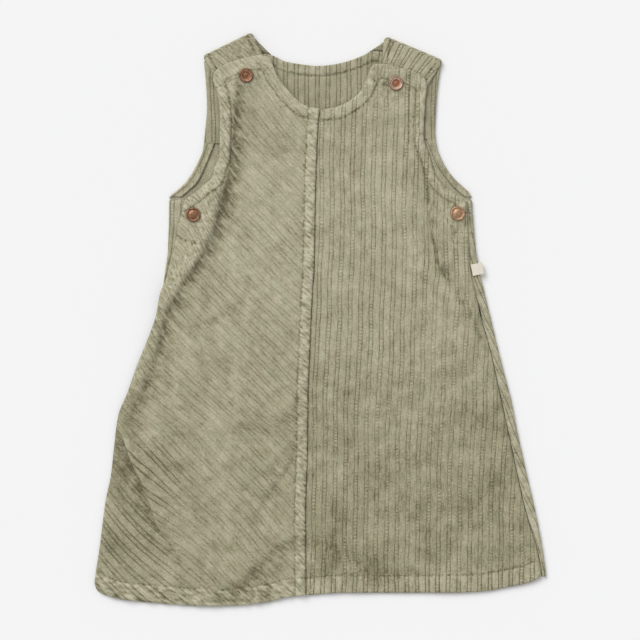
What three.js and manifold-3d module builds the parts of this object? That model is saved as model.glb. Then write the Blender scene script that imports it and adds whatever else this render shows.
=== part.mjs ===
// A child's pinafore dress in two-width corduroy, laid flat on its back.
//
// Frame: millimetres, X to the viewer's right, Y from the hem to the neck, Z up from the surface
// that the dress lies on. The origin is under the middle of the whole outline.
//
// The layers, from the surface up: the back; its facings, which show at the neck and armholes; the
// two shoulder straps, which fold over from the back; the two fronts, joined by a centre seam and
// snapped to the straps and to the back's side plackets.

import * as THREE from 'three';
import Module from 'manifold-3d';

const wasm = await Module();
wasm.setup();

// ---- Driving dimensions -------------------------------------------------------------------------

const CLOTH = 1.6; // thickness of the corduroy
const FACING = 1.2; // thickness of a facing
const GAP = 0.3; // air between two pieces that lie on each other or meet at a seam
const AIR = 0.5; // air under the fronts, which lie more loosely
const ROLL = 1.3; // mid-cloth radius of the back's rolled side edges
const STRAP_ROLL = 1.7; // mid-cloth radius of a strap's fold over the shoulder
const HEM_INSET = 1.5; // how far the back's hem stays inside the front's hem

const LABEL = {
  width: 10.5, length: 10.6, thickness: 1, sag: 0.6, x: 141.4, y: 45.6, rise: 1.1, turn: 12,
};
const SNAP_CAP = { radius: 6.5, height: 2.2 };
const SNAP_STUD = { radius: 5, height: 1.4 };

const FACING_FLOOR = CLOTH + GAP;
const FACING_TOP = FACING_FLOOR + FACING;
const FLAP_TOP = 2 * ROLL + CLOTH; // upper face of a rolled side edge
const STRAP_TOP = 2 * STRAP_ROLL + CLOTH; // upper face of a folded strap

// Where the fronts rise over what lies under them: from one height Y, or distance, to the next.
const RAMPS = {
  facings: [148, 158],
  straps: [172, 186],
  leftFlapFoot: [2, 24],
  rightFlapFoot: [-8, 12],
  flapHead: [112, 134],
  leftFlapWidth: [34, 48],
  rightFlapWidth: [32, 46],
  sideSeamWidth: [14, 34],
  studRadius: [7, 16],
  snapCalm: [8, 20], // folds die out towards a snap
};
const SIDE_SEAM_RISE = 0.5;
const SEAM_ALLOWANCE = { rise: 0.5, width: [9, 13] }; // both turnings lie to the viewer's left
const FLAP_HEAD = 108; // height at which the rolled side edges end

// ---- Tables: a row for each section --------------------------------------------------------------

// The hem edge of the fronts, from the viewer's left to right.
const HEM = [
  { x: -204, y: -241 }, { x: -198, y: -245 }, { x: -192, y: -247.5 }, { x: -179, y: -251 },
  { x: -152, y: -254 }, { x: -98, y: -257.4 }, { x: -71, y: -256.5 }, { x: -44, y: -253 },
  { x: -30, y: -249.3 }, { x: -17, y: -248 }, { x: 23, y: -245.2 }, { x: 118, y: -245.2 },
  { x: 145, y: -244 }, { x: 172, y: -239.5 }, { x: 186, y: -236.5 }, { x: 199, y: -231.3 },
];

// The outer edge of the front on the viewer's left: side, placket, armhole, shoulder tab.
const LEFT_OUTER_EDGE = [
  { y: -241, x: -203.4 }, { y: -227, x: -201.6 }, { y: -205, x: -198.2 }, { y: -162, x: -192.6 },
  { y: -140, x: -188 }, { y: -108, x: -184.5 }, { y: -86, x: -181.5 }, { y: -65, x: -173.2 },
  { y: -43, x: -165.4 }, { y: 0, x: -149.2 }, { y: 26, x: -142.7 }, { y: 38, x: -137.7 },
  { y: 54, x: -134 }, { y: 68, x: -130 }, { y: 82, x: -127.8 }, { y: 97, x: -123.8 },
  { y: 107, x: -121.5 }, { y: 115.5, x: -110.7 }, { y: 122, x: -103 }, { y: 126, x: -97.7 },
  { y: 137, x: -94.5 }, { y: 149, x: -90.7 }, { y: 166, x: -90.2 }, { y: 182, x: -89.7 },
  { y: 196, x: -90.5 }, { y: 206, x: -92.7 }, { y: 215, x: -95.8 }, { y: 222.3, x: -96.3 },
];

// The outer edge of the front on the viewer's right: side seam, placket, armhole, shoulder tab.
const RIGHT_OUTER_EDGE = [
  { y: -232, x: 199.8 }, { y: -223, x: 198.5 }, { y: -202, x: 194.4 }, { y: -182, x: 187.7 },
  { y: -157, x: 181.3 }, { y: -99, x: 168.8 }, { y: -62, x: 160.7 }, { y: -22, x: 151.7 },
  { y: 4, x: 144 }, { y: 22, x: 140.2 }, { y: 39, x: 136.2 }, { y: 50, x: 134.2 }, { y: 72, x: 133.4 },
  { y: 97, x: 131.8 }, { y: 105, x: 131 }, { y: 109.4, x: 128.2 }, { y: 115, x: 118.4 },
  { y: 123, x: 108.9 }, { y: 135, x: 102.3 }, { y: 148, x: 98.6 }, { y: 160, x: 94 },
  { y: 165, x: 93.1 }, { y: 178, x: 93.6 }, { y: 197, x: 94.5 }, { y: 211, x: 95.9 },
  { y: 217, x: 95 },
];

// The seam down the middle of the front, from the hem to the neck.
const CENTRE_SEAM = [
  { y: -258, x: -12.2 }, { y: -180, x: -12.9 }, { y: -119, x: -11.3 }, { y: -72, x: -10.8 },
  { y: -22, x: -8.8 }, { y: 23, x: -6.8 }, { y: 47, x: -5.2 }, { y: 110, x: -4.1 },
  { y: 171, x: -1.8 }, { y: 190, x: -0.2 },
];
const HEM_SEAM_X = -12.2;
const HEM_CORNERS = { left: -203.4, right: 199.8 };
const HEM_END = -230.3; // height of the hem at the side seam
const NECK_LOW = 190; // height of the neckline's lowest point

// The front neckline either side of that seam, up to the tabs' inner corners.
const NECK_LEFT = [
  { y: 190, x: -0.35 }, { y: 192, x: -8.6 }, { y: 195, x: -16.7 }, { y: 201.5, x: -24.3 },
  { y: 211.5, x: -32.4 }, { y: 220.5, x: -38.7 }, { y: 229, x: -42.3 }, { y: 236, x: -45.5 },
  { y: 238.6, x: -49 },
];
const NECK_RIGHT = [
  { y: 190, x: -0.05 }, { y: 191, x: 10.4 }, { y: 193.5, x: 19.8 }, { y: 197.5, x: 27 }, { y: 202, x: 33.3 },
  { y: 207.5, x: 37.8 }, { y: 216, x: 41.4 }, { y: 224, x: 44.5 }, { y: 230, x: 46.8 },
];

// The upper ends of the shoulder tabs.
const TAB_LEFT = [
  { x: -96.3, y: 222.3 }, { x: -85, y: 230 }, { x: -74, y: 234 }, { x: -61, y: 237 }, { x: -49, y: 238.6 },
];
const TAB_RIGHT = [
  { x: 46.8, y: 230 }, { x: 61, y: 229.5 }, { x: 70, y: 226.8 }, { x: 84, y: 223.2 }, { x: 95, y: 217 },
];

// The outline of the back: its sides and armholes.
const BACK_OUTLINE = [
  { y: -256, left: -199.5, right: 203.4 }, { y: -231, left: -198.8, right: 203.2 },
  { y: -216, left: -197, right: 201.6 }, { y: -184, left: -192.4, right: 196.2 },
  { y: -140, left: -185, right: 186.3 }, { y: -97, left: -179.5, right: 176.8 },
  { y: -76, left: -174.5, right: 172.8 }, { y: -32, left: -157.5, right: 161.6 },
  { y: 11, left: -143.2, right: 151.2 }, { y: 26, left: -141.8, right: 147.6 },
  { y: 43, left: -139.5, right: 143.6 }, { y: 65, left: -136.8, right: 140 },
  { y: 98, left: -135.9, right: 137.2 }, { y: 110, left: -135.9, right: 136.6 },
  { y: 115, left: -130.5, right: 134.1 }, { y: 121, left: -123.3, right: 127.4 },
  { y: 131, left: -115.7, right: 117.5 }, { y: 142, left: -109.8, right: 110.7 },
  { y: 153, left: -105.3, right: 105.8 }, { y: 169, left: -103.5, right: 103.5 },
  { y: 191, left: -101.7, right: 104.4 }, { y: 212, left: -102.6, right: 106.2 },
  { y: 232, left: -104.4, right: 109.4 },
];

// The upper edge of the back: strap seam, neckline, strap seam.
const BACK_TOP = [
  { x: -104.4, y: 232.2 }, { x: -78, y: 236.4 }, { x: -51.5, y: 240.6 }, { x: -44, y: 239.4 },
  { x: -31, y: 232.2 }, { x: -17, y: 230 }, { x: -2, y: 228.6 }, { x: 12.6, y: 230 },
  { x: 26, y: 233.6 }, { x: 38, y: 239.4 }, { x: 48, y: 242.4 }, { x: 55, y: 241.4 },
  { x: 82, y: 235.4 }, { x: 109.4, y: 229.2 },
];

// Where the rolled side edges of the back end, under the fronts' plackets.
const LEFT_FLAP_END = [
  { y: 24, x: -138.5 }, { y: 34, x: -128 }, { y: 50, x: -112 }, { y: 70, x: -104 }, { y: 108, x: -104 },
];
const RIGHT_FLAP_END = [
  { y: 2, x: 145.5 }, { y: 14, x: 142.3 }, { y: 30, x: 126 }, { y: 48, x: 112 }, { y: 70, x: 107 },
  { y: 108, x: 107 },
];

// The armhole facings: the armhole's edge and the facing's inner edge at each section.
const ARMHOLE_FACING_LEFT = [
  { outerX: -103.8, outerY: 159.6, innerX: -92.2, innerY: 159.6 },
  { outerX: -105, outerY: 153, innerX: -94.5, innerY: 152 },
  { outerX: -109.5, outerY: 142, innerX: -97.2, innerY: 141 },
  { outerX: -115.4, outerY: 131, innerX: -103, innerY: 130.5 },
  { outerX: -123, outerY: 121, innerX: -110.7, innerY: 122.6 },
  { outerX: -130, outerY: 115.3, innerX: -117, innerY: 116.8 },
  { outerX: -135, outerY: 110.8, innerX: -124, innerY: 110.8 },
];
const ARMHOLE_FACING_RIGHT = [
  { outerX: 103.4, outerY: 163.4, innerX: 95.4, innerY: 163.4 },
  { outerX: 105.5, outerY: 153, innerX: 99.8, innerY: 152 },
  { outerX: 110.4, outerY: 142, innerX: 104, innerY: 141 },
  { outerX: 117.2, outerY: 131, innerX: 109.8, innerY: 132 },
  { outerX: 127, outerY: 121, innerX: 116.6, innerY: 123 },
  { outerX: 133.6, outerY: 115.2, innerX: 122.8, innerY: 116.4 },
  { outerX: 136, outerY: 110.8, innerX: 130, innerY: 110.8 },
];

// The neck facing, and the strap facings beside it, each from the armhole's edge to its inner edge.
const NECK_FACING = { left: -50.5, right: 53.5, low: 176, inset: 0.2 };
const STRAP_FACING_LEFT = { inner: -70, low: 160, outerHigh: 231, innerHigh: 234 };
const STRAP_FACING_RIGHT = { inner: 72, low: 164, outerHigh: 227, innerHigh: 233 };

// A strap: the ends of its fold line, the X of its seam's ends, and its free end under the tab.
const STRAP_LEFT = {
  fold: { outer: [-105.3, 237.6], inner: [-61.6, 258.8] },
  seam: { outer: -104.2, inner: -51.8 },
  end: { outer: [-82.5, 198.8], inner: [-43, 221] },
};
const STRAP_RIGHT = {
  fold: { outer: [110.2, 234], inner: [59.4, 255.2] },
  seam: { outer: 109.2, inner: 55.2 },
  end: { outer: [85.3, 190.7], inner: [54.3, 209.7] },
};

// The snaps, each seen from above as a cap on the front, over a stud on the layer below.
const SNAPS = [
  { name: 'shoulder_snap_left', x: -66.2, y: 219.2, under: STRAP_TOP },
  { name: 'shoulder_snap_right', x: 68.1, y: 212.1, under: STRAP_TOP },
  { name: 'side_snap_left', x: -113.7, y: 94.5, under: FLAP_TOP },
  { name: 'side_snap_right', x: 123.4, y: 95.5, under: FLAP_TOP },
];

// The largest folds, along Y: where the crest is, how high it stands, and how far it takes to fall
// away to the viewer's left and right.
const FOLDS = {
  armhole: [
    { y: 222, x: -77, rise: 0, left: 14, right: 6 }, { y: 200, x: -80, rise: 0.9, left: 14, right: 6 },
    { y: 170, x: -79, rise: 1.6, left: 14, right: 6 }, { y: 135, x: -85, rise: 2.2, left: 16, right: 7 },
    { y: 104, x: -94, rise: 2.6, left: 16, right: 7 }, { y: 80, x: -100, rise: 2.6, left: 16, right: 7 },
    { y: 50, x: -116, rise: 2.4, left: 16, right: 7 }, { y: 19, x: -136, rise: 2, left: 12, right: 7 },
    { y: -22, x: -151, rise: 1.4, left: 10, right: 8 }, { y: -80, x: -178, rise: 0.6, left: 8, right: 8 },
    { y: -96, x: -182, rise: 0, left: 8, right: 8 },
  ],
  corner: [
    { y: -88, x: -178, rise: 0, left: 5, right: 16 }, { y: -110, x: -174, rise: 1.8, left: 5, right: 18 },
    { y: -141, x: -162, rise: 2.8, left: 5, right: 22 }, { y: -166, x: -147, rise: 2, left: 6, right: 24 },
    { y: -200, x: -125, rise: 0.8, left: 10, right: 24 }, { y: -225, x: -108, rise: 0, left: 12, right: 24 },
  ],
  side: [
    { y: 150, x: 79, rise: 0, left: 10, right: 10 }, { y: 120, x: 84, rise: 0.8, left: 12, right: 8 },
    { y: 70, x: 91, rise: 1.2, left: 14, right: 8 }, { y: 40, x: 99, rise: 1.4, left: 16, right: 8 },
    { y: 10, x: 119, rise: 1.2, left: 16, right: 8 }, { y: -22, x: 140, rise: 0, left: 16, right: 8 },
  ],
};

// ---- Curves and steps ----------------------------------------------------------------------------

// A smooth curve through one column of a table, against another that rises or falls steadily: a cubic
// between neighbouring rows, whose slopes are harmonic means, so that it never overshoots a row.
function curve(table, along, column) {
  const rows = [...table].sort((a, b) => a[along] - b[along]);
  const slope = (i) => (rows[i + 1][column] - rows[i][column]) / (rows[i + 1][along] - rows[i][along]);
  const tangents = rows.map((row, i) => {
    if (i === 0) return slope(0);
    if (i === rows.length - 1) return slope(i - 1);
    const product = slope(i - 1) * slope(i);
    return product <= 0 ? 0 : (2 * product) / (slope(i - 1) + slope(i));
  });
  return (at) => {
    const last = rows.length - 2;
    const after = rows.findIndex((row) => row[along] > at) - 1;
    const i = after < -1 ? last : Math.min(Math.max(after, 0), last);
    const span = rows[i + 1][along] - rows[i][along];
    const t = THREE.MathUtils.clamp((at - rows[i][along]) / span, 0, 1);
    const [a, b] = [rows[i][column], rows[i + 1][column]];
    const [p, q] = [tangents[i] * span, tangents[i + 1] * span];
    return a + t * (p + t * (3 * (b - a) - 2 * p - q + t * (p + q - 2 * (b - a))));
  };
}

const step = THREE.MathUtils.smoothstep;
const mix = THREE.MathUtils.lerp;

// ---- Closed walls --------------------------------------------------------------------------------

// A closed wall between two surfaces over the same grid of u and v values: the upper and lower faces,
// and a strip around the edge. A wall that comes out inside out is turned over.
function wall(uValues, vValues, lower, upper) {
  const [nu, nv] = [uValues.length, vValues.length];
  const points = [lower, upper].flatMap((surface) => (
    vValues.flatMap((v) => uValues.map((u) => surface(u, v)))
  ));
  const low = (i, j) => j * nu + i;
  const high = (i, j) => nu * nv + low(i, j);
  const triangles = [];
  const quad = (a, b, c, d) => triangles.push([a, b, c], [a, c, d]);
  for (let j = 0; j < nv - 1; j += 1) {
    for (let i = 0; i < nu - 1; i += 1) {
      quad(high(i, j), high(i + 1, j), high(i + 1, j + 1), high(i, j + 1));
      quad(low(i, j), low(i, j + 1), low(i + 1, j + 1), low(i + 1, j));
    }
  }
  for (let i = 0; i < nu - 1; i += 1) {
    quad(low(i, 0), low(i + 1, 0), high(i + 1, 0), high(i, 0));
    quad(low(i + 1, nv - 1), low(i, nv - 1), high(i, nv - 1), high(i + 1, nv - 1));
  }
  for (let j = 0; j < nv - 1; j += 1) {
    quad(low(0, j + 1), low(0, j), high(0, j), high(0, j + 1));
    quad(low(nu - 1, j), low(nu - 1, j + 1), high(nu - 1, j + 1), high(nu - 1, j));
  }
  const volume = triangles.reduce((sum, [a, b, c]) => (
    sum + points[a].dot(new THREE.Vector3().crossVectors(points[b], points[c]))
  ), 0);
  const turned = volume < 0 ? triangles.map(([a, b, c]) => [a, c, b]) : triangles;
  const geometry = new THREE.BufferGeometry().setFromPoints(points);
  geometry.setIndex(turned.flat());
  return geometry;
}

function toSolid(geometry) {
  return new wasm.Manifold(new wasm.Mesh({
    numProp: 3,
    vertProperties: new Float32Array(geometry.getAttribute('position').array),
    triVerts: new Uint32Array(geometry.getIndex().array),
  }));
}

function toGeometry(solid) {
  const mesh = solid.getMesh();
  const geometry = new THREE.BufferGeometry();
  geometry.setAttribute('position', new THREE.BufferAttribute(new Float32Array(mesh.vertProperties), 3));
  geometry.setIndex(Array.from(mesh.triVerts));
  return geometry;
}

const evenly = (count) => Array.from({ length: count + 1 }, (_, i) => i / count);

// ---- The height of the fronts ---------------------------------------------------------------------

const foldHeights = Object.values(FOLDS).map((table) => {
  const [x, rise, left, right] = ['x', 'rise', 'left', 'right'].map((column) => curve(table, 'y', column));
  return (px, py) => {
    const distance = px - x(py);
    const width = distance < 0 ? left(py) : right(py);
    return rise(py) * Math.exp(-((distance / width) ** 2));
  };
});

const leftSide = curve(BACK_OUTLINE, 'y', 'left');
const rightSide = curve(BACK_OUTLINE, 'y', 'right');
const seamLine = curve(CENTRE_SEAM, 'y', 'x');
const backTop = curve(BACK_TOP, 'x', 'y');
const hemLine = curve(HEM, 'x', 'y');
const leftFrontEdge = curve(LEFT_OUTER_EDGE, 'y', 'x');
const rightFrontEdge = curve(RIGHT_OUTER_EDGE, 'y', 'x');

// How high the underside of a front lies above the surface: clear of the back, raised over the
// facings, straps, placket flaps and snap studs, and lifted by the folds and the centre seam.
function underside(x, y) {
  const rise = (at, name) => step(at, ...RAMPS[name]);
  const fall = (at, name) => 1 - rise(at, name);
  const fromLeft = x - leftSide(y);
  const fromRight = rightSide(y) - x;
  const fromSeam = seamLine(y) - x;
  const snapDistances = SNAPS.map((snap) => Math.hypot(x - snap.x, y - snap.y));
  const overFacings = (FACING_TOP - CLOTH) * rise(y, 'facings');
  const overStraps = (STRAP_TOP - FACING_TOP) * rise(y, 'straps');
  const leftFlap = fall(fromLeft, 'leftFlapWidth') * rise(y, 'leftFlapFoot') * fall(y, 'flapHead');
  const rightFlap = fall(fromRight, 'rightFlapWidth') * rise(y, 'rightFlapFoot') * fall(y, 'flapHead');
  const overFlaps = (FLAP_TOP - CLOTH) * (leftFlap + rightFlap);
  const sideSeam = SIDE_SEAM_RISE * fall(fromRight, 'sideSeamWidth') * fall(y, 'rightFlapFoot');
  const studHeight = SNAP_STUD.height + GAP;
  const overStuds = snapDistances.reduce((sum, away) => sum + studHeight * fall(away, 'studRadius'), 0);
  const allowance = step(fromSeam, -1, 1) * (1 - step(fromSeam, ...SEAM_ALLOWANCE.width));
  const centreSeam = SEAM_ALLOWANCE.rise * allowance;
  const calm = snapDistances.reduce((product, away) => product * rise(away, 'snapCalm'), 1);
  const folds = calm * foldHeights.reduce((sum, height) => sum + height(x, y), 0);
  return CLOTH + AIR + overFacings + overStraps + overFlaps + sideSeam + overStuds + centreSeam + folds;
}

// ---- The fronts ----------------------------------------------------------------------------------

// A front: straight across between its left and right edges at each height y, with y carried from
// the hem to the tab's upper end at each u.
function frontPanel(left, right, hemEnds, tab, rows) {
  const top = curve(tab, 'x', 'y');
  const topEnds = [tab[0].x, tab.at(-1).x];
  const place = (u, v, rise) => {
    const y = mix(hemLine(mix(...hemEnds, u)), top(mix(...topEnds, u)), v);
    const x = mix(left(y), right(y), u);
    return new THREE.Vector3(x, y, underside(x, y) + rise);
  };
  return wall(FRONT_COLUMNS, rows, (u, v) => place(u, v, 0), (u, v) => place(u, v, CLOTH));
}

// The heights of a front's rows at its inner edge: closer together at the armhole, neck and tab.
const FRONT_ROWS = [
  -228, -205, -180, -156, -130, -107, -83, -58, -34, -10, 15, 37, 56, 75, 90, 100, 108.5, 117.5,
  125, 134, 146, 158, 170, 180, NECK_LOW, 193, 198, 206, 216, 226,
];
const FRONT_COLUMNS = evenly(22);

// The inner edge of a front: the centre seam up to the neck's lowest point, then the neckline.
function innerEdge(neck, side) {
  const neckline = curve(neck, 'y', 'x');
  return (y) => (y < NECK_LOW ? seamLine(y) + (side * GAP) / 2 : neckline(y));
}

// Rows as parts of a front's height, from their heights at its inner edge.
const frontRows = (low, high) => [0, ...FRONT_ROWS.map((y) => (y - low) / (high - low)), 1];

function frontLeft() {
  const rows = frontRows(hemLine(HEM_SEAM_X), TAB_LEFT.at(-1).y);
  return frontPanel(leftFrontEdge, innerEdge(NECK_LEFT, -1), [HEM_CORNERS.left, HEM_SEAM_X], TAB_LEFT, rows);
}

const rightRows = frontRows(hemLine(HEM_SEAM_X), TAB_RIGHT[0].y);

function frontRight() {
  const hemEnds = [HEM_SEAM_X, HEM_CORNERS.right];
  return frontPanel(innerEdge(NECK_RIGHT, 1), rightFrontEdge, hemEnds, TAB_RIGHT, rightRows);
}

// ---- The back ------------------------------------------------------------------------------------

// One rolled side edge: a profile that runs out along the surface to the outline, turns up and over,
// and comes back to the flap's end, carried along Y. Side is -1 at the viewer's left, 1 at the right.
function rolledEdge(side, end, yValues) {
  const outline = side < 0 ? leftSide : rightSide;
  const reach = ROLL + CLOTH / 2;
  const overlap = 8;
  const turn = [-90, -60, -30, 0, 30, 60, 90];
  const profile = (index, y, offset) => {
    const centre = outline(y) - side * reach;
    const angle = THREE.MathUtils.degToRad(turn[Math.min(Math.max(index - 1, 0), turn.length - 1)]);
    const radius = ROLL + offset;
    const x = centre + side * radius * Math.cos(angle);
    const z = reach + radius * Math.sin(angle);
    if (index === 0) return new THREE.Vector3(centre - side * overlap, y, z);
    if (index > turn.length) return new THREE.Vector3(mix(centre, end(y), (index - turn.length) / 2), y, z);
    return new THREE.Vector3(x, y, z);
  };
  const indices = Array.from({ length: turn.length + 3 }, (_, i) => i);
  return wall(
    indices, yValues,
    (index, y) => profile(index, y, -CLOTH / 2),
    (index, y) => profile(index, y, CLOTH / 2),
  );
}

// The back: a flat sheet from the hem to the strap seams and the neckline, with its side edges rolled
// over to the front where they show.
function back() {
  const inset = ROLL + CLOTH / 2 + 2; // the sheet stays this far inside a rolled edge
  const hemEnds = [-199, 199];
  const leftRollFoot = [10, 22];
  const rollHead = [105, 110];
  const place = (u, v, z) => {
    const low = hemLine(mix(...hemEnds, u)) + HEM_INSET;
    const y = mix(low, backTop(mix(BACK_TOP[0].x, BACK_TOP[BACK_TOP.length - 1].x, u)), v);
    const leftInset = inset * step(y, ...leftRollFoot) * (1 - step(y, ...rollHead));
    const rightInset = inset * (1 - step(y, ...rollHead));
    return new THREE.Vector3(mix(leftSide(y) + leftInset, rightSide(y) - rightInset, u), y, z);
  };
  const rows = [
    0, 0.08, 0.2, 0.32, 0.44, 0.53, 0.59, 0.66, 0.73, 0.75, 0.765, 0.785, 0.81, 0.84, 0.88, 0.94, 1,
  ];
  const sheet = wall(evenly(24), rows, (u, v) => place(u, v, 0), (u, v) => place(u, v, CLOTH));
  const leftFlap = curve(LEFT_FLAP_END, 'y', 'x');
  const rightFlap = curve(RIGHT_FLAP_END, 'y', 'x');
  const rightEnd = (y) => (y < RIGHT_FLAP_END[0].y ? rightFrontEdge(y) + GAP : rightFlap(y));
  const seamHeights = rightRows.map((v) => mix(hemLine(HEM_CORNERS.right), TAB_RIGHT.at(-1).y, v)).slice(1);
  const leftHeights = [...LEFT_FLAP_END.map((row) => row.y).slice(0, -1), 90, FLAP_HEAD];
  const rightHeights = [HEM_END, ...seamHeights.filter((y) => y < 100), FLAP_HEAD];
  return toGeometry(
    toSolid(sheet)
      .add(toSolid(rolledEdge(-1, leftFlap, leftHeights)))
      .add(toSolid(rolledEdge(1, rightEnd, rightHeights))),
  );
}

// ---- Straps and facings --------------------------------------------------------------------------

// A strap: from its seam on the back it runs up to the shoulder, folds over, and comes down under
// the front's tab. The profile turns about the fold line, and is carried from its outer to inner end.
function strap({ fold, seam, end }) {
  const between = (ends, u) => new THREE.Vector2(...ends.outer).lerp(new THREE.Vector2(...ends.inner), u);
  const line = between(fold, 1).sub(between(fold, 0)).normalize();
  const towardBody = new THREE.Vector2(line.y, -line.x);
  if (towardBody.y > 0) towardBody.negate();
  const reach = STRAP_ROLL + CLOTH / 2;
  const turn = [-90, -60, -30, 0, 30, 60, 90];
  const surface = (offset) => (index, u) => {
    const base = between(fold, u).addScaledVector(towardBody, reach);
    const angle = THREE.MathUtils.degToRad(turn[Math.min(Math.max(index - 1, 0), turn.length - 1)]);
    const radius = STRAP_ROLL + offset;
    if (index === 0) {
      base.x = mix(seam.outer, seam.inner, u);
      base.y = backTop(base.x) + GAP;
    }
    if (index > turn.length) base.lerp(between(end, u), (index - turn.length) / 3);
    else if (index > 0) base.addScaledVector(towardBody, -radius * Math.cos(angle));
    return new THREE.Vector3(base.x, base.y, reach + radius * Math.sin(angle));
  };
  const indices = Array.from({ length: turn.length + 4 }, (_, i) => i);
  return wall(indices, evenly(6), surface(-CLOTH / 2), surface(CLOTH / 2));
}

// A flat facing on the back's inside, between two edges given as points at t from 0 to 1.
function facing(from, to, count) {
  const place = (u, v, z) => {
    const [a, b] = [from(v), to(v)];
    return new THREE.Vector3(mix(a[0], b[0], u), mix(a[1], b[1], u), z);
  };
  return wall(
    evenly(2), evenly(count),
    (u, v) => place(u, v, FACING_FLOOR),
    (u, v) => place(u, v, FACING_FLOOR + FACING),
  );
}

function neckFacing() {
  const { left, right, low, inset } = NECK_FACING;
  const across = (v) => mix(left, right, v);
  return facing((v) => [across(v), low], (v) => [across(v), backTop(across(v)) - inset], 16);
}

function strapFacing(outline, { inner, low, outerHigh, innerHigh }) {
  const edge = Math.sign(inner) * GAP;
  const outside = (y) => [outline(y) - edge, y];
  return facing((v) => outside(mix(low, outerHigh, v)), (v) => [inner, mix(low, innerHigh, v)], 8);
}

function armholeFacing(rows) {
  const indexed = rows.map((row, i) => ({ ...row, t: i / (rows.length - 1) }));
  const [ox, oy, ix, iy] = ['outerX', 'outerY', 'innerX', 'innerY'].map((c) => curve(indexed, 't', c));
  return facing((v) => [ox(v), oy(v)], (v) => [ix(v), iy(v)], 12);
}

// ---- Label and snaps -----------------------------------------------------------------------------

// The seam label: a plain woven tape, folded double, that lies out over the rolled side edge.
function seamLabel() {
  const { width, length, thickness, sag } = LABEL;
  const geometry = new THREE.BoxGeometry(width, length, thickness, 4, 1, 1);
  const position = geometry.getAttribute('position');
  for (let i = 0; i < position.count; i += 1) {
    const droop = sag * (position.getX(i) / width + 0.5) ** 2;
    position.setZ(i, position.getZ(i) - droop);
  }
  return geometry;
}

// A snap's cap: a turned disc with a raised rim, a dished ring and a small domed centre.
function snapCap() {
  const { radius, height } = SNAP_CAP;
  const profile = [
    [0, 0], [radius * 0.9, 0], [radius, height * 0.3], [radius * 0.96, height * 0.8],
    [radius * 0.84, height], [radius * 0.7, height * 0.82], [radius * 0.46, height * 0.72],
    [radius * 0.36, height * 0.42], [0, height * 0.5],
  ];
  return new THREE.LatheGeometry(profile.map(([r, y]) => new THREE.Vector2(r, y)), 24).rotateX(Math.PI / 2);
}

function snapStud() {
  const { radius, height } = SNAP_STUD;
  const profile = [[0, 0], [radius, 0], [radius, height * 0.6], [radius * 0.9, height], [0, height]];
  return new THREE.LatheGeometry(profile.map(([r, y]) => new THREE.Vector2(r, y)), 20).rotateX(Math.PI / 2);
}

// ---- Finishes and assembly -----------------------------------------------------------------------

const corduroy = { color: 0xa7a186, roughness: 0.95, metalness: 0 };
const inside = { color: 0x98937a, roughness: 0.95, metalness: 0 };
const tape = { color: 0xe6dfc9, roughness: 0.9, metalness: 0 };
const copper = { color: 0xa8694f, roughness: 0.35, metalness: 1 };

const dress = new THREE.Group();

function add(name, geometry, finish, place = [0, 0, 0], turn = 0) {
  geometry.deleteAttribute('uv');
  geometry.computeVertexNormals();
  const mesh = new THREE.Mesh(geometry, new THREE.MeshStandardMaterial({ ...finish, flatShading: true }));
  mesh.name = name;
  mesh.position.set(...place);
  mesh.rotation.z = turn;
  dress.add(mesh);
}

add('back_panel', back(), corduroy);
add('neck_facing', neckFacing(), inside);
add('strap_facing_left', strapFacing(leftSide, STRAP_FACING_LEFT), inside);
add('strap_facing_right', strapFacing(rightSide, STRAP_FACING_RIGHT), inside);
add('armhole_facing_left', armholeFacing(ARMHOLE_FACING_LEFT), inside);
add('armhole_facing_right', armholeFacing(ARMHOLE_FACING_RIGHT), inside);
add('strap_left', strap(STRAP_LEFT), corduroy);
add('strap_right', strap(STRAP_RIGHT), corduroy);
add('front_left_panel', frontLeft(), corduroy);
add('front_right_panel', frontRight(), corduroy);
const labelPlace = [LABEL.x, LABEL.y, FLAP_TOP + GAP + LABEL.rise];
add('seam_label', seamLabel(), tape, labelPlace, THREE.MathUtils.degToRad(LABEL.turn));

for (const { name, x, y, under } of SNAPS) {
  add(name.replace('snap', 'stud'), snapStud(), copper, [x, y, under + GAP]);
  add(name, snapCap(), copper, [x, y, underside(x, y) + CLOTH + GAP]);
}

export default dress;
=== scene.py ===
# %% [markdown]
# # A child's corduroy pinafore dress, laid flat
#
# The dress is a few flat pieces of sage corduroy that lie on each other: the back, its facings, two
# straps that fold over the shoulders, and two fronts that snap to the straps and to the back's side
# plackets. One front is cut on the straight grain and the other on the bias, so its wales slant.
# Each piece is built as a surface over a grid, at its real size in millimetres, in the place and the
# room that a plain solid model of the same dress gives it.

# %% The frame
from types import SimpleNamespace

import bpy
import numpy as np
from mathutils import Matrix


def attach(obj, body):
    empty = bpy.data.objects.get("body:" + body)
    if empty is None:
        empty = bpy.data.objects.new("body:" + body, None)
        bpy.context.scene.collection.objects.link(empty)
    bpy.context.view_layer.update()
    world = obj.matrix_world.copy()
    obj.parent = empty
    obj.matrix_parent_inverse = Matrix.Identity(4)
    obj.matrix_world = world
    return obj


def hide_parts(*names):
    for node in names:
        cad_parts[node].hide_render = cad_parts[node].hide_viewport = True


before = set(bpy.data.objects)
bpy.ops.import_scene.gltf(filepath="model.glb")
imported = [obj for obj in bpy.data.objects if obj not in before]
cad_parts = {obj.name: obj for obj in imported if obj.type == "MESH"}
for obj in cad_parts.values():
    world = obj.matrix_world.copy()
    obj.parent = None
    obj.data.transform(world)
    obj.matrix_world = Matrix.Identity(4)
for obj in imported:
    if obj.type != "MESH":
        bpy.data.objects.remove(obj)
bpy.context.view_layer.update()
MM = 0.001

# %% [markdown]
# ## Curves, steps and distances
#
# A pattern cutter draws an edge as a smooth line through a few measured points. The same is done
# here: a table holds a row for each point, with named columns, and a cubic joins the rows. Its slopes
# are harmonic means of the slopes either side, so the line never swings past a measured point.


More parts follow.
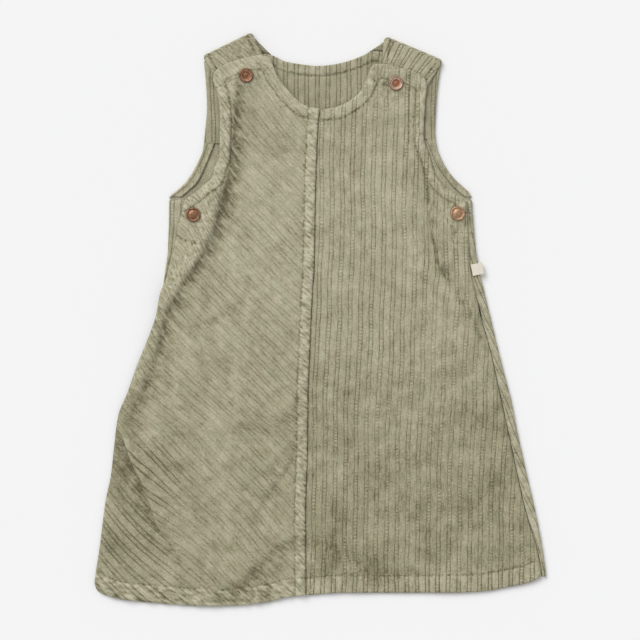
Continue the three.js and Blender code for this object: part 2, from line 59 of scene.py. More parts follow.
# %% Tables and curves
def table(columns, *rows):
    """Named columns from rows of numbers."""
    return dict(zip(columns.split(), np.array(rows, dtype=float).T))


def curve(rows, along, across):
    """A smooth function through a table: p = a + s(m + s(3(b-a) - 2m - n + s(m + n - 2(b-a))))."""
    order = np.argsort(rows[along])
    t, p = rows[along][order], rows[across][order]
    slope = np.diff(p) / np.diff(t)
    product, total = slope[:-1] * slope[1:], slope[:-1] + slope[1:]
    inner = np.where(product > 0, 2 * product / np.where(product > 0, total, 1), 0)
    tangent = np.concatenate([slope[:1], inner, slope[-1:]])

    def at(x):
        x = np.clip(x, t[0], t[-1])
        i = np.clip(np.searchsorted(t, x, side="right") - 1, 0, len(t) - 2)
        span = t[i + 1] - t[i]
        s = (x - t[i]) / span
        a, b, m, n = p[i], p[i + 1], tangent[i] * span, tangent[i + 1] * span
        return a + s * (m + s * (3 * (b - a) - 2 * m - n + s * (m + n - 2 * (b - a))))

    return at


def step(x, low, high):
    """A smooth step from 0 at low to 1 at high: t t (3 - 2 t)."""
    t = np.clip((x - low) / (high - low), 0, 1)
    return t * t * (3 - 2 * t)


def fade(x, low, high):
    """A smooth step down, from 1 at low to 0 at high."""
    return 1 - step(x, low, high)


def mix(a, b, t):
    """A straight blend from a to b."""
    return a + (b - a) * t


def soft_noise(x, y, size, seed):
    """Smooth noise from -1 to 1: seeded random values on a square grid, joined by smooth steps."""
    values = np.random.default_rng(seed).uniform(-1, 1, (61, 61))
    i, j = np.floor(x / size).astype(int), np.floor(y / size).astype(int)
    s, t = step(x / size - i, 0, 1), step(y / size - j, 0, 1)
    low = mix(values[i % 61, j % 61], values[(i + 1) % 61, j % 61], s)
    high = mix(values[i % 61, (j + 1) % 61], values[(i + 1) % 61, (j + 1) % 61], s)
    return mix(low, high, t)


def round_corner(x, y, corner, along_a, along_b, radius):
    """Rounds a corner: in the square of that radius along its two edges, each point at (a, b) from
    the far corner moves to (a, b) max(a, b) / hypot(a, b), which bends the square into a disc."""
    corner, side_a, side_b = (np.array(p, dtype=float) for p in (corner, along_a, along_b))
    side_a, side_b = ((side - corner) / np.hypot(*(side - corner)) for side in (side_a, side_b))
    to_edges = np.linalg.inv(np.stack([side_a, side_b], -1))
    part = np.stack([x, y], -1) - corner
    a, b = 1 - (part @ to_edges.T).T / radius
    inside = (a > 0) & (b > 0) & (a < 1.2) & (b < 1.2)
    keep = np.where(inside, np.maximum(a, b) / np.maximum(np.hypot(a, b), 1e-9), 1)
    moved = corner + (1 - a * keep)[:, None] * side_a * radius + (1 - b * keep)[:, None] * side_b * radius
    return np.where(inside, moved[:, 0], x), np.where(inside, moved[:, 1], y)


def rounded(distance, radius):
    """How full a turned edge is at a distance from it: a quarter circle, sqrt(1 - (1 - d/r)^2)."""
    t = np.clip(distance / radius, 0, 1)
    return np.sqrt(1 - (1 - t) ** 2)


def along_path(line, low, high, count, along="y"):
    """Points along a curve, as pairs of x and y."""
    t = np.linspace(low, high, count)
    return np.stack([line(t), t] if along == "y" else [t, line(t)], -1)


def path_distance(x, y, path):
    """The least distance from each point to a path of straight segments, by projection on each."""
    best = np.full(np.shape(x), np.inf)
    for (ax, ay), (bx, by) in zip(path[:-1], path[1:]):
        dx, dy = bx - ax, by - ay
        t = np.clip(((x - ax) * dx + (y - ay) * dy) / (dx * dx + dy * dy), 0, 1)
        best = np.minimum(best, np.hypot(x - ax - t * dx, y - ay - t * dy))
    return best


print("a smooth step, a quarter of the way:", float(step(0.25, 0, 1)))

# %% [markdown]
# ## The cut
#
# These are the edges of the pieces, from the hem at Y = -257 to the shoulders at Y = 259. They are
# nearly the solid model's own tables, because both describe one garment. The neckline and the back's
# top are eased by a millimetre or two, so that the cloth runs on smoothly into the straps.

# %% The edges of the pieces
CLOTH, FACING, GAP = 1.6, 1.2, 0.3
ROLL, STRAP_ROLL = 1.3, 1.7  # radii of the sides' roll and of the straps' fold, at mid-cloth
FACING_FLOOR = CLOTH + GAP
FACING_TOP, FLAP_TOP, STRAP_TOP = FACING_FLOOR + FACING, 2 * ROLL + CLOTH, 2 * STRAP_ROLL + CLOTH
HEM_INSET = 1.5  # how far the back's hem stays inside the fronts'
NECK_LOW = 190

HEM = table(
    "x y",
    (-204, -241), (-198, -245), (-192, -247.5), (-179, -251), (-152, -254), (-98, -257.4),
    (-71, -256.5), (-44, -253), (-30, -249.3), (-17, -248), (23, -245.2), (118, -245.2),
    (145, -244), (172, -239.5), (186, -236.5), (199, -231.3),
)
LEFT_OUTER = table(
    "y x",
    (-241, -203.4), (-227, -201.6), (-205, -198.2), (-162, -192.6), (-140, -188), (-108, -184.5),
    (-86, -181.5), (-65, -173.2), (-43, -165.4), (0, -149.2), (26, -142.7), (38, -137.7),
    (54, -134), (68, -130), (82, -127.8), (97, -123.8), (107, -121.5), (115.5, -110.7),
    (122, -103), (126, -97.7), (137, -94.5), (149, -90.7), (166, -90.2), (182, -89.7),
    (196, -90.5), (206, -92.7), (215, -95.8), (222.3, -96.3),
)
RIGHT_OUTER = table(
    "y x",
    (-232, 199.8), (-223, 198.5), (-202, 194.4), (-182, 187.7), (-157, 181.3), (-99, 168.8),
    (-62, 160.7), (-22, 151.7), (4, 144), (22, 140.2), (39, 136.2), (50, 134.2), (72, 133.4),
    (97, 131.8), (105, 131), (109.4, 128.2), (115, 118.4), (123, 108.9), (135, 102.3),
    (148, 98.6), (160, 94), (165, 93.1), (178, 93.6), (197, 94.5), (211, 95.9), (217, 95),
)
CENTRE_SEAM = table(
    "y x",
    (-258, -12.2), (-180, -12.9), (-119, -11.3), (-72, -10.8), (-22, -8.8), (23, -6.8),
    (47, -5.2), (110, -4.1), (171, -1.8), (190, -0.2),
)
NECK_LEFT = table(
    "y x",
    (190, -0.35), (191.2, -8.6), (194.6, -16.7), (201.5, -24.3), (211.5, -32.4), (220.5, -38.7),
    (229, -42.3), (236, -45.5), (238.6, -49),
)
NECK_RIGHT = table(
    "y x",
    (190, -0.05), (190.5, 10.4), (192.8, 19.8), (197.5, 27), (202, 33.3), (207.5, 37.8),
    (216, 41.4), (224, 44.5), (230, 46.8),
)
TAB_LEFT = table("x y", (-96.3, 222.3), (-85, 230), (-74, 234), (-61, 237), (-49, 238.6))
TAB_RIGHT = table("x y", (46.8, 230), (61, 229.5), (70, 226.8), (84, 223.2), (95, 217))
BACK_OUTLINE = table(
    "y left right",
    (-256, -199.5, 203.4), (-231, -198.8, 203.2), (-216, -197, 201.6), (-184, -192.4, 196.2),
    (-140, -185, 186.3), (-97, -179.5, 176.8), (-76, -174.5, 172.8), (-32, -157.5, 161.6),
    (11, -143.2, 151.2), (26, -141.8, 147.6), (43, -139.5, 143.6), (65, -136.8, 140),
    (98, -135.9, 137.2), (110, -135.9, 136.6), (115, -130.5, 134.1), (121, -123.3, 127.4),
    (131, -115.7, 117.5), (142, -109.8, 110.7), (153, -105.3, 105.8), (169, -103.5, 103.5),
    (191, -101.7, 104.4), (212, -102.6, 106.2), (232, -104.4, 109.4),
)
BACK_TOP = table(
    "x y",
    (-104.4, 232.2), (-78, 236.4), (-51.5, 239.6), (-44, 238.4), (-31, 232.6), (-17, 230),
    (-2, 228.6), (12.6, 230), (26, 233.2), (38, 237.6), (48, 242), (55, 241.4), (82, 235.4),
    (109.4, 229.2),
)
LEFT_FLAP_END = table("y x", (24, -138.5), (34, -128), (50, -112), (70, -104), (108, -104))
RIGHT_FLAP_END = table(
    "y x", (2, 145.5), (14, 142.3), (30, 126), (48, 112), (70, 107), (108, 107)
)
SNAPS = table("x y", (-66.2, 219.2), (68.1, 212.1), (-113.7, 94.5), (123.4, 95.5))
SNAP_NAMES = ["shoulder_snap_left", "shoulder_snap_right", "side_snap_left", "side_snap_right"]

hem_line, seam_line = curve(HEM, "x", "y"), curve(CENTRE_SEAM, "y", "x")
left_edge, right_edge = curve(LEFT_OUTER, "y", "x"), curve(RIGHT_OUTER, "y", "x")
left_side, right_side = curve(BACK_OUTLINE, "y", "left"), curve(BACK_OUTLINE, "y", "right")
back_top = curve(BACK_TOP, "x", "y")
print("hem width in mm:", round(float(right_side(-231) - left_edge(-241))))

# %% [markdown]
# ## The wales
#
# This corduroy has two widths of rib, a wide one and a narrow one, in turn, with a fine groove between
# them. A flat grid with a bump would look right from above but not at the edges or in the mesh, so the
# ribs are real. The grid's columns follow the wales and are spaced closely at the grooves only, so
# each groove stays sharp with few triangles. A column that leaves the piece ends on its edge. Where
# the wales wander, a column's place depends on itself, so it is found by repeated, damped steps.

# %% Ribs and the grid that follows them
WALE = 9.45  # one wide and one narrow rib
WIDE_PART = 0.645  # the wide rib's part of that
RIB = 0.65  # how high the pile stands over a groove
PHASES = np.array([0, 0.035, 0.09, 0.18, 0.32, 0.46, 0.555, 0.61, 0.645, 0.68, 0.735, 0.82, 0.905, 0.965])


def rib_height(across):
    """The pile's height from 0 in a groove to 1: (1 - |2t - 1|^7)^(1/2) over a wide rib, and lower
    and rounder, 0.9 (1 - |2t - 1|^4)^(1/2), over a narrow one."""
    phase = np.mod(across / WALE, 1)
    wide = np.clip(1 - np.abs(2 * phase / WIDE_PART - 1) ** 7, 0, 1) ** 0.5
    narrow = np.clip(1 - np.abs(2 * (phase - WIDE_PART) / (1 - WIDE_PART) - 1) ** 4, 0, 1) ** 0.5
    return np.where(phase < WIDE_PART, wide, 0.9 * narrow)


def wale_columns(low, high, slant):
    """Column places between low and high, at each phase of each pair of ribs. Slant stretches the
    spacing across a slanting wale as it is measured level."""
    pairs = np.arange(np.floor(low / slant / WALE) - 1, np.ceil(high / slant / WALE) + 1)
    return ((pairs[:, None] + PHASES[None, :]) * WALE * slant).ravel()


def rows_like(values):
    """Row places from 0 to 1 that fall on the given values."""
    return (values - values[0]) / (values[-1] - values[0])


def rows_of(length, spacing, edge=(0, 0.35, 0.9, 1.7, 3)):
    """Row places from 0 to 1 over a length: close together near both ends, then evenly spaced."""
    edge = np.array(edge)
    middle = np.linspace(edge[-1], length - edge[-1], int(length / spacing))[1:-1]
    return np.concatenate([edge, middle, (length - edge)[::-1]]) / length


def grid_faces(index):
    """Two triangles for each square of a grid of point numbers."""
    a, b, c, d = (part.ravel() for part in (index[:-1, :-1], index[:-1, 1:], index[1:, 1:], index[1:, :-1]))
    return np.concatenate([np.stack([a, b, c], -1), np.stack([a, c, d], -1)])


def level(value):
    """A straight edge: the same value everywhere."""
    return lambda y: value + 0 * y


def still(x, y):
    """No wander at all."""
    return 0 * x


def wale_grid(left, right, height, columns, rows, lean=0.0, wander=still):
    """A grid whose columns follow the wales. At each row v the column c lies at x = c - lean y +
    wander, kept between left(y) and right(y), and y = height(u, v) with u = (x - left)/(right - left).
    Columns past an edge share the edge's point. Returns x, y, c and triangles."""
    v = rows[:, None]
    y = height(0.5, v) + 0 * columns[None, :]
    x = columns[None, :] + 0 * v
    for _ in range(20):
        low, high = left(y), right(y)
        x = np.clip(mix(x, columns[None, :] - lean * y + wander(x, y), 0.6), low, high)
        y = height((x - low) / (high - low), v)
    count = len(columns)
    drift = wander(x, y) - lean * y
    raw = columns[None, :] + drift
    first = np.maximum((raw <= low).sum(axis=1) - 1, 0)[:, None]
    last = np.minimum(count - (raw >= high).sum(axis=1), count - 1)[:, None]
    kept = np.arange(len(rows))[:, None] * count + np.clip(np.arange(count)[None, :], first, last)
    triangles = grid_faces(kept)
    p, q, r = triangles.T
    triangles = triangles[(p != q) & (q != r) & (r != p)]
    used, triangles = np.unique(triangles, return_inverse=True)
    return x.ravel()[used], y.ravel()[used], (x - drift).ravel()[used], triangles.reshape(-1, 3)


def normals_of(points, triangles):
    """Unit normals at the points: the sum of the normals of the triangles round each, by area."""
    p, q, r = (points[triangles[:, k]] for k in range(3))
    face = np.cross(q - p, r - p)
    total = np.stack([
        sum(np.bincount(triangles[:, k], face[:, axis], len(points)) for k in range(3)) for axis in range(3)
    ], -1)
    return total / np.maximum(np.linalg.norm(total, axis=1, keepdims=True), 1e-12)


def close_wall(outer, inner, triangles):
    """A closed wall: the outer faces, the inner faces turned round, and a strip along each open edge,
    which is a directed edge whose opposite isn't in any triangle."""
    count = len(outer)
    edges = np.concatenate([triangles[:, [0, 1]], triangles[:, [1, 2]], triangles[:, [2, 0]]])
    key, back = edges[:, 0] * count + edges[:, 1], edges[:, 1] * count + edges[:, 0]
    a, b = edges[~np.isin(key, back)].T
    strip = np.concatenate([np.stack([b, a, a + count], -1), np.stack([b, a + count, b + count], -1)])
    return np.concatenate([outer, inner]), np.concatenate([triangles, triangles[:, ::-1] + count, strip])


print("columns across one pair of ribs:", len(PHASES))

# %% [markdown]
# ## Making a mesh object
#
# Whole arrays go into the mesh at once. Each cloth piece carries a UV map named wales, with the
# distance across and along the wales in metres, so its finish follows the cloth and not the room. It
# also carries marks: pile is 0 in a groove and 1 on a rib, and holds the painted shade of the grooves
# and folds and the painted light falloff, crumple is how bunched up the cloth is, and stitches holds
# signed distances to stitched lines, which stay sharp between far-off points.


# %% From arrays to an object
FAR = 9  # a distance in millimetres at which a stitched line no longer shows


def marks(pile, crumple=0.0, seam=FAR, turning=FAR, line=FAR):
    """One row of marks at each point: pile, crumple, and the distances in millimetres to the seam's
    stitching, to a turning's and to a single line's."""
    return np.stack(np.broadcast_arrays(pile, crumple, seam, turning, line), -1)


def both_faces(wales, outer, inner_pile=0.5):
    """Wale coordinates and marks for a shell's outer face and then its plain inner one."""
    inner = outer * [0, 0, 1, 1, 1] + [inner_pile, 0, 0, 0, 0]
    return np.tile(wales, (2, 1)), np.concatenate([outer, inner])


def new_piece(name, shell, material, node_name, cut=None):
    """An object at the origin from a shell: points in millimetres, triangles, wale coordinates and
    marks. It takes a finish and stands for its CAD node, which it hides. A cloth piece's cut holds
    width and length in metres, which are printed with its flat area, and how it lies and on what, which
    are not used. Its flat area is half the area of its two faces in wale coordinates, which are the
    cut's own."""
    points, triangles, wales, numbers = shell
    mesh = bpy.data.meshes.new(name)
    mesh.vertices.add(len(points))
    mesh.vertices.foreach_set("co", (points * MM).astype(np.float32).ravel())
    mesh.loops.add(triangles.size)
    mesh.loops.foreach_set("vertex_index", triangles.astype(np.int32).ravel())
    mesh.polygons.add(len(triangles))
    mesh.polygons.foreach_set("loop_start", np.arange(0, triangles.size, 3, dtype=np.int32))
    mesh.polygons.foreach_set("use_smooth", np.ones(len(triangles), dtype=bool))
    mesh.update(calc_edges=True)
    layer = mesh.uv_layers.new(name="wales")
    layer.uv.foreach_set("vector", (wales[triangles.ravel()] * MM).astype(np.float32).ravel())
    for label, kind, field, values in (
        ("pile", "FLOAT", "value", numbers[:, 0]), ("crumple", "FLOAT", "value", numbers[:, 1]),
        ("stitches", "FLOAT_VECTOR", "vector", numbers[:, 2:] * MM),
    ):
        data = mesh.attributes.new(label, kind, "POINT").data
        data.foreach_set(field, values.astype(np.float32).ravel())
    mesh.materials.append(material)
    piece = bpy.data.objects.new(name, mesh)
    bpy.context.collection.objects.link(piece)
    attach(piece, "root")
    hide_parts(node_name)
    note = f"{name}: {len(triangles)} triangles"
    if cut:
        width, length, held, rests_on = cut
        a, b, c = (wales[triangles[:, k]] * MM for k in range(3))
        area = 0.25 * np.abs(np.cross(b - a, c - a)).sum()
        note += f", cut {area * 1e4:.0f} square cm from {width * 100:.1f} x {length * 100:.1f} cm"
    print(note)
    return piece


print("marks at a point on a crown:", marks(1.0))

# %% [markdown]
# ## The finish of corduroy
#
# Corduroy is a cotton cloth with extra weft loops that are cut and brushed into ribs of pile. The
# grooves are painted dark, a painted shade over the real grooves, and the crowns of the ribs are paler
# where the fibres are brushed over. The pile also lies in fine streaks along each rib, stands in lumps
# where the cloth is bunched, which are painted lighter and darker as well as bumped, and is pressed into
# a groove along a stitched line, whose colour is painted dark, a painted shade. One function turns hex
# colours to linear values, and one adds a node.


# %% Colours and nodes
def linear(hex_colour):
    """An sRGB hex colour as linear red, green, blue and alpha."""
    parts = np.array([int(hex_colour[i:i + 2], 16) for i in (0, 2, 4)]) / 255
    low = parts <= 0.04045
    return (*np.where(low, parts / 12.92, ((parts + 0.055) / 1.055) ** 2.4), 1.0)


def plug(tree, target, inputs):
    """Gives a node's inputs their values, or links them to the sockets given."""
    for key, value in inputs.items():
        if isinstance(value, bpy.types.NodeSocket):
            tree.links.new(value, target.inputs[key])
        else:
            target.inputs[key].default_value = value


def node(tree, kind, inputs=None, out=0, **settings):
    """Adds a node, with settings on the node itself and inputs as values or as sockets to link from,
    and returns one of its output sockets."""
    made = tree.nodes.new(kind)
    for key, value in settings.items():
        setattr(made, key, value)
    plug(tree, made, inputs or {})
    return made.outputs[out]


def new_material(name):
    """A material, its node tree and its shader."""
    material = bpy.data.materials.new(name)
    material.use_nodes = True
    return material, material.node_tree, material.node_tree.nodes["Principled BSDF"]


MATH, NOISE, RANGE = "ShaderNodeMath", "ShaderNodeTexNoise", "ShaderNodeMapRange"
UV, ATTRIBUTE, MAPPING = "ShaderNodeUVMap", "ShaderNodeAttribute", "ShaderNodeMapping"
COORDINATES, AXES, MIX = "ShaderNodeTexCoord", "ShaderNodeSeparateXYZ", "ShaderNodeMix"
RAMP, BUMP = "ShaderNodeValToRGB", "ShaderNodeBump"


BEAD = 0.0029  # metres from bead to bead


def corduroy(name, groove, rib, crown, cool, beading):
    """Cut and brushed cotton pile: grooves painted dark, a painted shade, paler crowns, beads on the
    narrow ribs, and a nap that lies this way and that in patches of a slightly cooler tone. Pulled
    cloth has fewer beads."""
    material, tree, shader = new_material(name)
    wales = node(tree, UV, uv_map="wales")
    place = node(tree, COORDINATES, out="Object")
    pile, crumple = (node(tree, ATTRIBUTE, out="Fac", attribute_name=key) for key in ("pile", "crumple"))
    stitches = node(tree, ATTRIBUTE, out="Vector", attribute_name="stitches")
    # Fibre streaks about 0.7 mm wide and 9 mm long, coarser than real fibres so that they show.
    along = node(tree, MAPPING, {"Vector": wales, "Scale": (1500, 110, 1)})
    streaks = node(tree, NOISE, {"Vector": along, "Scale": 1.0, "Detail": 2.0, "Roughness": 0.6})
    # Tufts about 1.5 mm apart, where the cut pile stands in small bunches.
    tufts = node(tree, NOISE, {"Vector": place, "Scale": 650.0, "Detail": 2.0, "Roughness": 0.7})
    # Crushed and brushed patches, 9 mm and 35 mm across.
    crushed = node(tree, NOISE, {"Vector": place, "Scale": 110.0, "Detail": 3.0, "Roughness": 0.6})
    brushed = node(tree, NOISE, {"Vector": place, "Scale": 28.0, "Detail": 2.0, "Roughness": 0.6})
    patches = node(tree, MATH, {0: crushed, 1: brushed}, operation="ADD")
    fine = node(tree, MATH, {0: tufts, 1: 0.95, 2: streaks}, operation="MULTIPLY_ADD")
    nap = node(tree, MATH, {0: patches, 1: 0.6, 2: fine}, operation="MULTIPLY_ADD")
    # Lumps about 3 mm wide and 5 mm long, where the cloth is bunched by a seam or in a crease. They move
    # the bump, and they also paint the colour lighter and darker, a painted light and shade on the lumps.
    lumps = node(tree, NOISE, {
        "Vector": node(tree, MAPPING, {"Vector": wales, "Scale": (330, 190, 1)}),
        "Scale": 1.0, "Detail": 2.0,
    })
    uneven = node(tree, MATH, {
        0: node(tree, MATH, {0: lumps, 1: 0.5}, operation="SUBTRACT"),
        1: node(tree, MATH, {0: crumple, 1: 2.0}, operation="MULTIPLY"), 2: nap,
    }, operation="MULTIPLY_ADD")
    # A stitched line is a ragged groove, 1 to 2 mm wide, broken where the noise lifts it. It is a bump,
    # and its colour is painted dark there, a painted shade in the groove.
    away = node(tree, AXES, {
        "Vector": node(tree, "ShaderNodeVectorMath", {0: stitches}, operation="ABSOLUTE"),
    })
    two = node(tree, MATH, {0: away, 1: away.node.outputs["Y"]}, operation="MINIMUM")
    nearest = node(tree, MATH, {0: two, 1: away.node.outputs["Z"]}, operation="MINIMUM")
    ragged = node(tree, NOISE, {"Vector": place, "Scale": 420.0, "Detail": 1.0})
    keep = node(tree, RANGE, {
        "Value": node(tree, MATH, {0: ragged, 1: 0.0045, 2: nearest}, operation="MULTIPLY_ADD"),
        "From Min": 0.002, "From Max": 0.0037, "To Min": 0.2,
    })
    grain = node(tree, MATH, {0: keep, 1: 0.8, 2: uneven}, operation="MULTIPLY_ADD")
    # Beads on the narrow ribs, which are the part of each pair past the wide rib.
    pair = node(tree, MATH, {
        0: node(tree, AXES, {"Vector": wales}, out="X"), 1: WALE * MM,
    }, operation="DIVIDE")
    phase = node(tree, MATH, {0: pair}, operation="FRACT")
    middle = node(tree, MATH, {0: phase, 1: (1 + WIDE_PART) / 2}, operation="SUBTRACT")
    narrow = node(tree, RANGE, {
        "Value": node(tree, MATH, {0: middle}, operation="ABSOLUTE"), "From Min": 0.16, "From Max": 0.08,
    })
    worn = node(tree, RANGE, {
        "Value": node(tree, NOISE, {"Vector": place, "Scale": 70.0, "Detail": 1.0}),
        "From Min": 0.35, "From Max": 0.7, "To Min": 0.0, "To Max": beading,
    })
    wobble = node(tree, NOISE, {"Vector": place, "Scale": 60.0, "Detail": 1.0})
    turn = node(tree, MATH, {
        0: node(tree, AXES, {"Vector": wales}, out="Y"), 1: 2 * np.pi / BEAD,
        2: node(tree, MATH, {0: wobble, 1: 12.0}, operation="MULTIPLY"),
    }, operation="MULTIPLY_ADD")
    bead = node(tree, MATH, {
        0: node(tree, MATH, {0: narrow, 1: worn}, operation="MULTIPLY"),
        1: node(tree, MATH, {0: turn}, operation="SINE"), 2: uneven,
    }, operation="MULTIPLY_ADD")
    level = node(tree, RANGE, {
        "Value": bead, "From Min": 1.05, "From Max": 2.0, "To Min": -0.42, "To Max": 0.42,
    }, clamp=False)
    height = node(tree, MATH, {
        0: node(tree, MATH, {0: pile, 1: keep}, operation="MULTIPLY"), 1: 0.6, 2: level,
    }, operation="MULTIPLY_ADD", use_clamp=True)
    # The pile mark picks a colour from the grooves' painted shade up to the crowns.
    ramp = node(tree, RAMP, {"Fac": height})
    stops = ramp.node.color_ramp.elements
    stops[0].position, stops[0].color = 0.0, linear(groove)
    stops[1].position, stops[1].color = 1.0, linear(crown)
    stops.new(0.5).color = linear(rib)
    tint = node(tree, RANGE, {
        "Value": node(tree, NOISE, {"Vector": place, "Scale": 60.0, "Detail": 3.0}),
        "From Min": 0.42, "From Max": 0.68, "To Max": 0.55,
    })
    toned = node(
        tree, MIX, {"Factor": tint, "A": ramp, "B": linear(cool)}, out="Result",
        data_type="RGBA", blend_type="MULTIPLY",
    )
    bump = node(tree, BUMP, {"Height": grain, "Strength": 0.4, "Distance": 0.0008})
    plug(tree, shader, {
        "Base Color": toned, "Normal": bump, "Roughness": 0.95, "Specular IOR Level": 0.1,
        "Sheen Weight": 0.15, "Sheen Roughness": 0.5,
    })
    return material


# Groove, rib, crown and a cool tint: the groove colour is a painted shade.
SAGE = ("6d664e", "a7a186", "cac5ae", "e8f0ea")
sage_corduroy = corduroy("sage_cotton_corduroy", *SAGE, 0.24)
bias_corduroy = corduroy("sage_cotton_corduroy_pulled", *SAGE, 0.08)
# A darker copy of the sage corduroy for the facings: a painted shade for the dress's inside.
shaded_facing_corduroy = corduroy("sage_corduroy_facing_painted_shade", "69634c", "9f997f", "bfb9a0", "e6efe6", 0.16)
print("finishes:", sage_corduroy.name, bias_corduroy.name, shaded_facing_corduroy.name)

# %% [markdown]
# ## Folds
#
# The fronts don't lie dead flat: the bias front is pushed into one long crease from the shoulder snap
# to the side, and its lower corner folds over itself. A fold is a ridge whose crest follows a table.
# It falls away at one rate on its left and another on its right, and it leans, so that the steep side
# can stand upright or hang over and throw a shadow, which a plain height could not do. At a fold's foot
# the cloth is painted darker, a painted shade, in short crinkles that follow the wales.

# %% The folds of the fronts
STEEP_FOLDS = {
    "armhole": (0.3, table(
        "y x rise left right",
        (222, -79, 0, 13, 6), (212, -80.5, 1.4, 13, 6), (190, -82, 2.8, 13, 5.8),
        (170, -83.5, 3.8, 13, 5.6), (151, -85.5, 4.2, 13, 5.6), (135, -88, 4.5, 14, 5.8),
        (120, -91.5, 4.8, 15, 6), (104, -96, 5, 15, 6.2), (80, -102.5, 5, 15, 6.2),
        (65, -109, 4.8, 15, 6.2), (50, -118, 4.5, 14, 6.2), (36, -127.5, 4, 12, 6.4),
        (19, -137, 3.6, 11, 6.5), (4, -145, 3.2, 10, 6.6), (-22, -152, 2.8, 9, 7),
        (-58, -164.5, 2.2, 8, 7), (-81, -176, 1.2, 8, 7), (-96, -182, 0, 8, 7),
    )),
    "corner": (-1.2, table(
        "y x rise left right",
        (-92, -178, 0, 3, 16), (-101, -174, 1.8, 3, 18), (-117, -166, 4.4, 3, 20),
        (-129, -160.5, 5.4, 3, 22), (-142, -154, 5.4, 3, 24), (-155, -149, 4.6, 3.4, 26),
        (-171, -144.5, 3.4, 4, 26), (-189, -137, 2.2, 5, 26), (-205, -124, 1.2, 7, 26),
        (-228, -108, 0, 10, 26),
    )),
    "side": (0.8, table(
        "y x rise left right",
        (160, 74, 0, 10, 5), (140, 86, 0.9, 14, 5), (98, 92, 1.4, 16, 5), (69, 95.5, 1.7, 18, 5),
        (43, 102, 2, 20, 6), (29, 113, 2, 20, 6), (14, 120, 1.8, 20, 6), (-2, 129, 1.3, 18, 7),
        (-20, 138, 0.7, 16, 8), (-45, 150, 0, 12, 8),
    )),
}
FLAT_FOLDS = {
    "hem_left": (0.9, table(
        "x y rise up down",
        (-104, -248, 0, 22, 8), (-88, -236, 1.5, 26, 8), (-68, -222.5, 2.2, 30, 9),
        (-49, -206.5, 2.3, 30, 9), (-24, -187.5, 1.8, 26, 9), (-11, -181, 1.5, 24, 9),
        (10, -190, 1.6, 24, 9), (28, -200, 1.8, 26, 9), (50, -217, 1.7, 26, 8),
        (73, -220.5, 1.0, 22, 8), (105, -222, 0, 20, 8),
    )),
    "waist": (0.5, table(
        "x y rise up down",
        (-138, -2, 0, 16, 4), (-125, -4, 0.8, 18, 4), (-107, 1.5, 1, 20, 4), (-85, 11, 1, 20, 5),
        (-71, 27, 0.6, 16, 6), (-60, 40, 0, 12, 6),
    )),
    "middle": (0.5, table(
        "x y rise up down",
        (-92, -94, 0, 12, 5), (-78, -91, 0.7, 14, 5), (-46, -91, 1, 14, 5), (-24, -76, 0.8, 12, 5),
        (-10, -64, 0, 10, 5),
    )),
    "low_one": (0.5, table(
        "x y rise up down",
        (-80, -158, 0, 12, 5), (-66, -144, 0.9, 14, 5), (-44, -126, 1.1, 14, 5), (-24, -108, 0.8, 12, 5),
        (-12, -100, 0, 10, 5),
    )),
    "low_two": (0.5, table(
        "x y rise up down",
        (-60, -172, 0, 10, 4), (-51, -158, 0.8, 10, 4), (-35, -136, 1, 10, 4), (-24, -118, 0.6, 10, 4),
        (-14, -108, 0, 10, 4),
    )),
}


print("folds:", ", ".join([*STEEP_FOLDS, *FLAT_FOLDS]))


# %% How a fold lifts, pushes and shades
PUSH = 6  # how far from its crest a fold still pushes the cloth on its gentle side
GATHERED = 13  # how much cloth the long crease takes up
FULL_RISE = 4  # the height of the long crease where it is full


def bell(distance, width):
    """A bell curve: exp(-(d/w)^2)."""
    return np.exp(-((distance / width) ** 2))


def fold_at(rows, place):
    """A fold's crest, rise and two widths at a place along it, which its table's first column gives."""
    along, *others = rows
    return [curve(rows, along, key)(place) for key in others]


def fold_lift(x, y):
    """How far the folds lift the cloth, and how far each pushes it sideways. A lift is the crest's rise
    times a bell of the distance from the crest, with its own width on each side. The push is the
    fold's lean times its lift, and on the gentle side it dies out within PUSH of the crest."""
    lift, push_x, push_y = (np.zeros(np.shape(x)) for _ in range(3))
    for lean, rows in STEEP_FOLDS.values():
        crest, rise, left, right = fold_at(rows, y)
        d = x - crest
        part = rise * bell(d, np.where(d < 0, left, right))
        gentle = rise * bell(d, PUSH)
        lift, push_x = lift + part, push_x + lean * np.minimum(part, np.where(d * lean < 0, gentle, part))
    for lean, rows in FLAT_FOLDS.values():
        crest, rise, up, down = fold_at(rows, x)
        d = y - crest
        part = rise * bell(d, np.where(d > 0, up, down))
        lift, push_y = lift + part, push_y - lean * part
    return lift, push_x, push_y


def crease_shade(x, y):
    """Painted shade: how dark the cloth is painted at the foot of a fold's steep side, 1 in the hollow
    there. It is a bell of the distance from that foot, narrow towards the fold and wide away from it,
    and half as much again within 2.4 mm, with a softer band below each flat fold's crest."""
    shade = np.zeros(np.shape(x))
    for lean, rows in STEEP_FOLDS.values():
        crest, rise, left, right = fold_at(rows, y)
        away = (x - crest - right - lean * rise) if lean > 0 else (crest - left + lean * rise - x)
        shade += np.clip(rise / 3.4, 0, 1) * (bell(away, np.where(away < 0, 3, 9.5)) + 0.5 * bell(away, 2.4))
    for lean, rows in FLAT_FOLDS.values():
        crest, rise, up, down = fold_at(rows, x)
        shade += np.clip(rise / 3.6, 0, 0.7) * bell(y - crest + down * 1.5, 3 + down)
    return np.clip(shade, 0, 1)


def crinkled(shade, across, y):
    """A shade broken into short crinkles that run along the wales, 2.4 mm wide and 7 mm long."""
    crinkles = 1.25 * soft_noise(across, y / 3, 2.4, 11) + 0.3 * soft_noise(across, y, 9, 12)
    return np.clip(shade * (1 + crinkles), 0, 1)


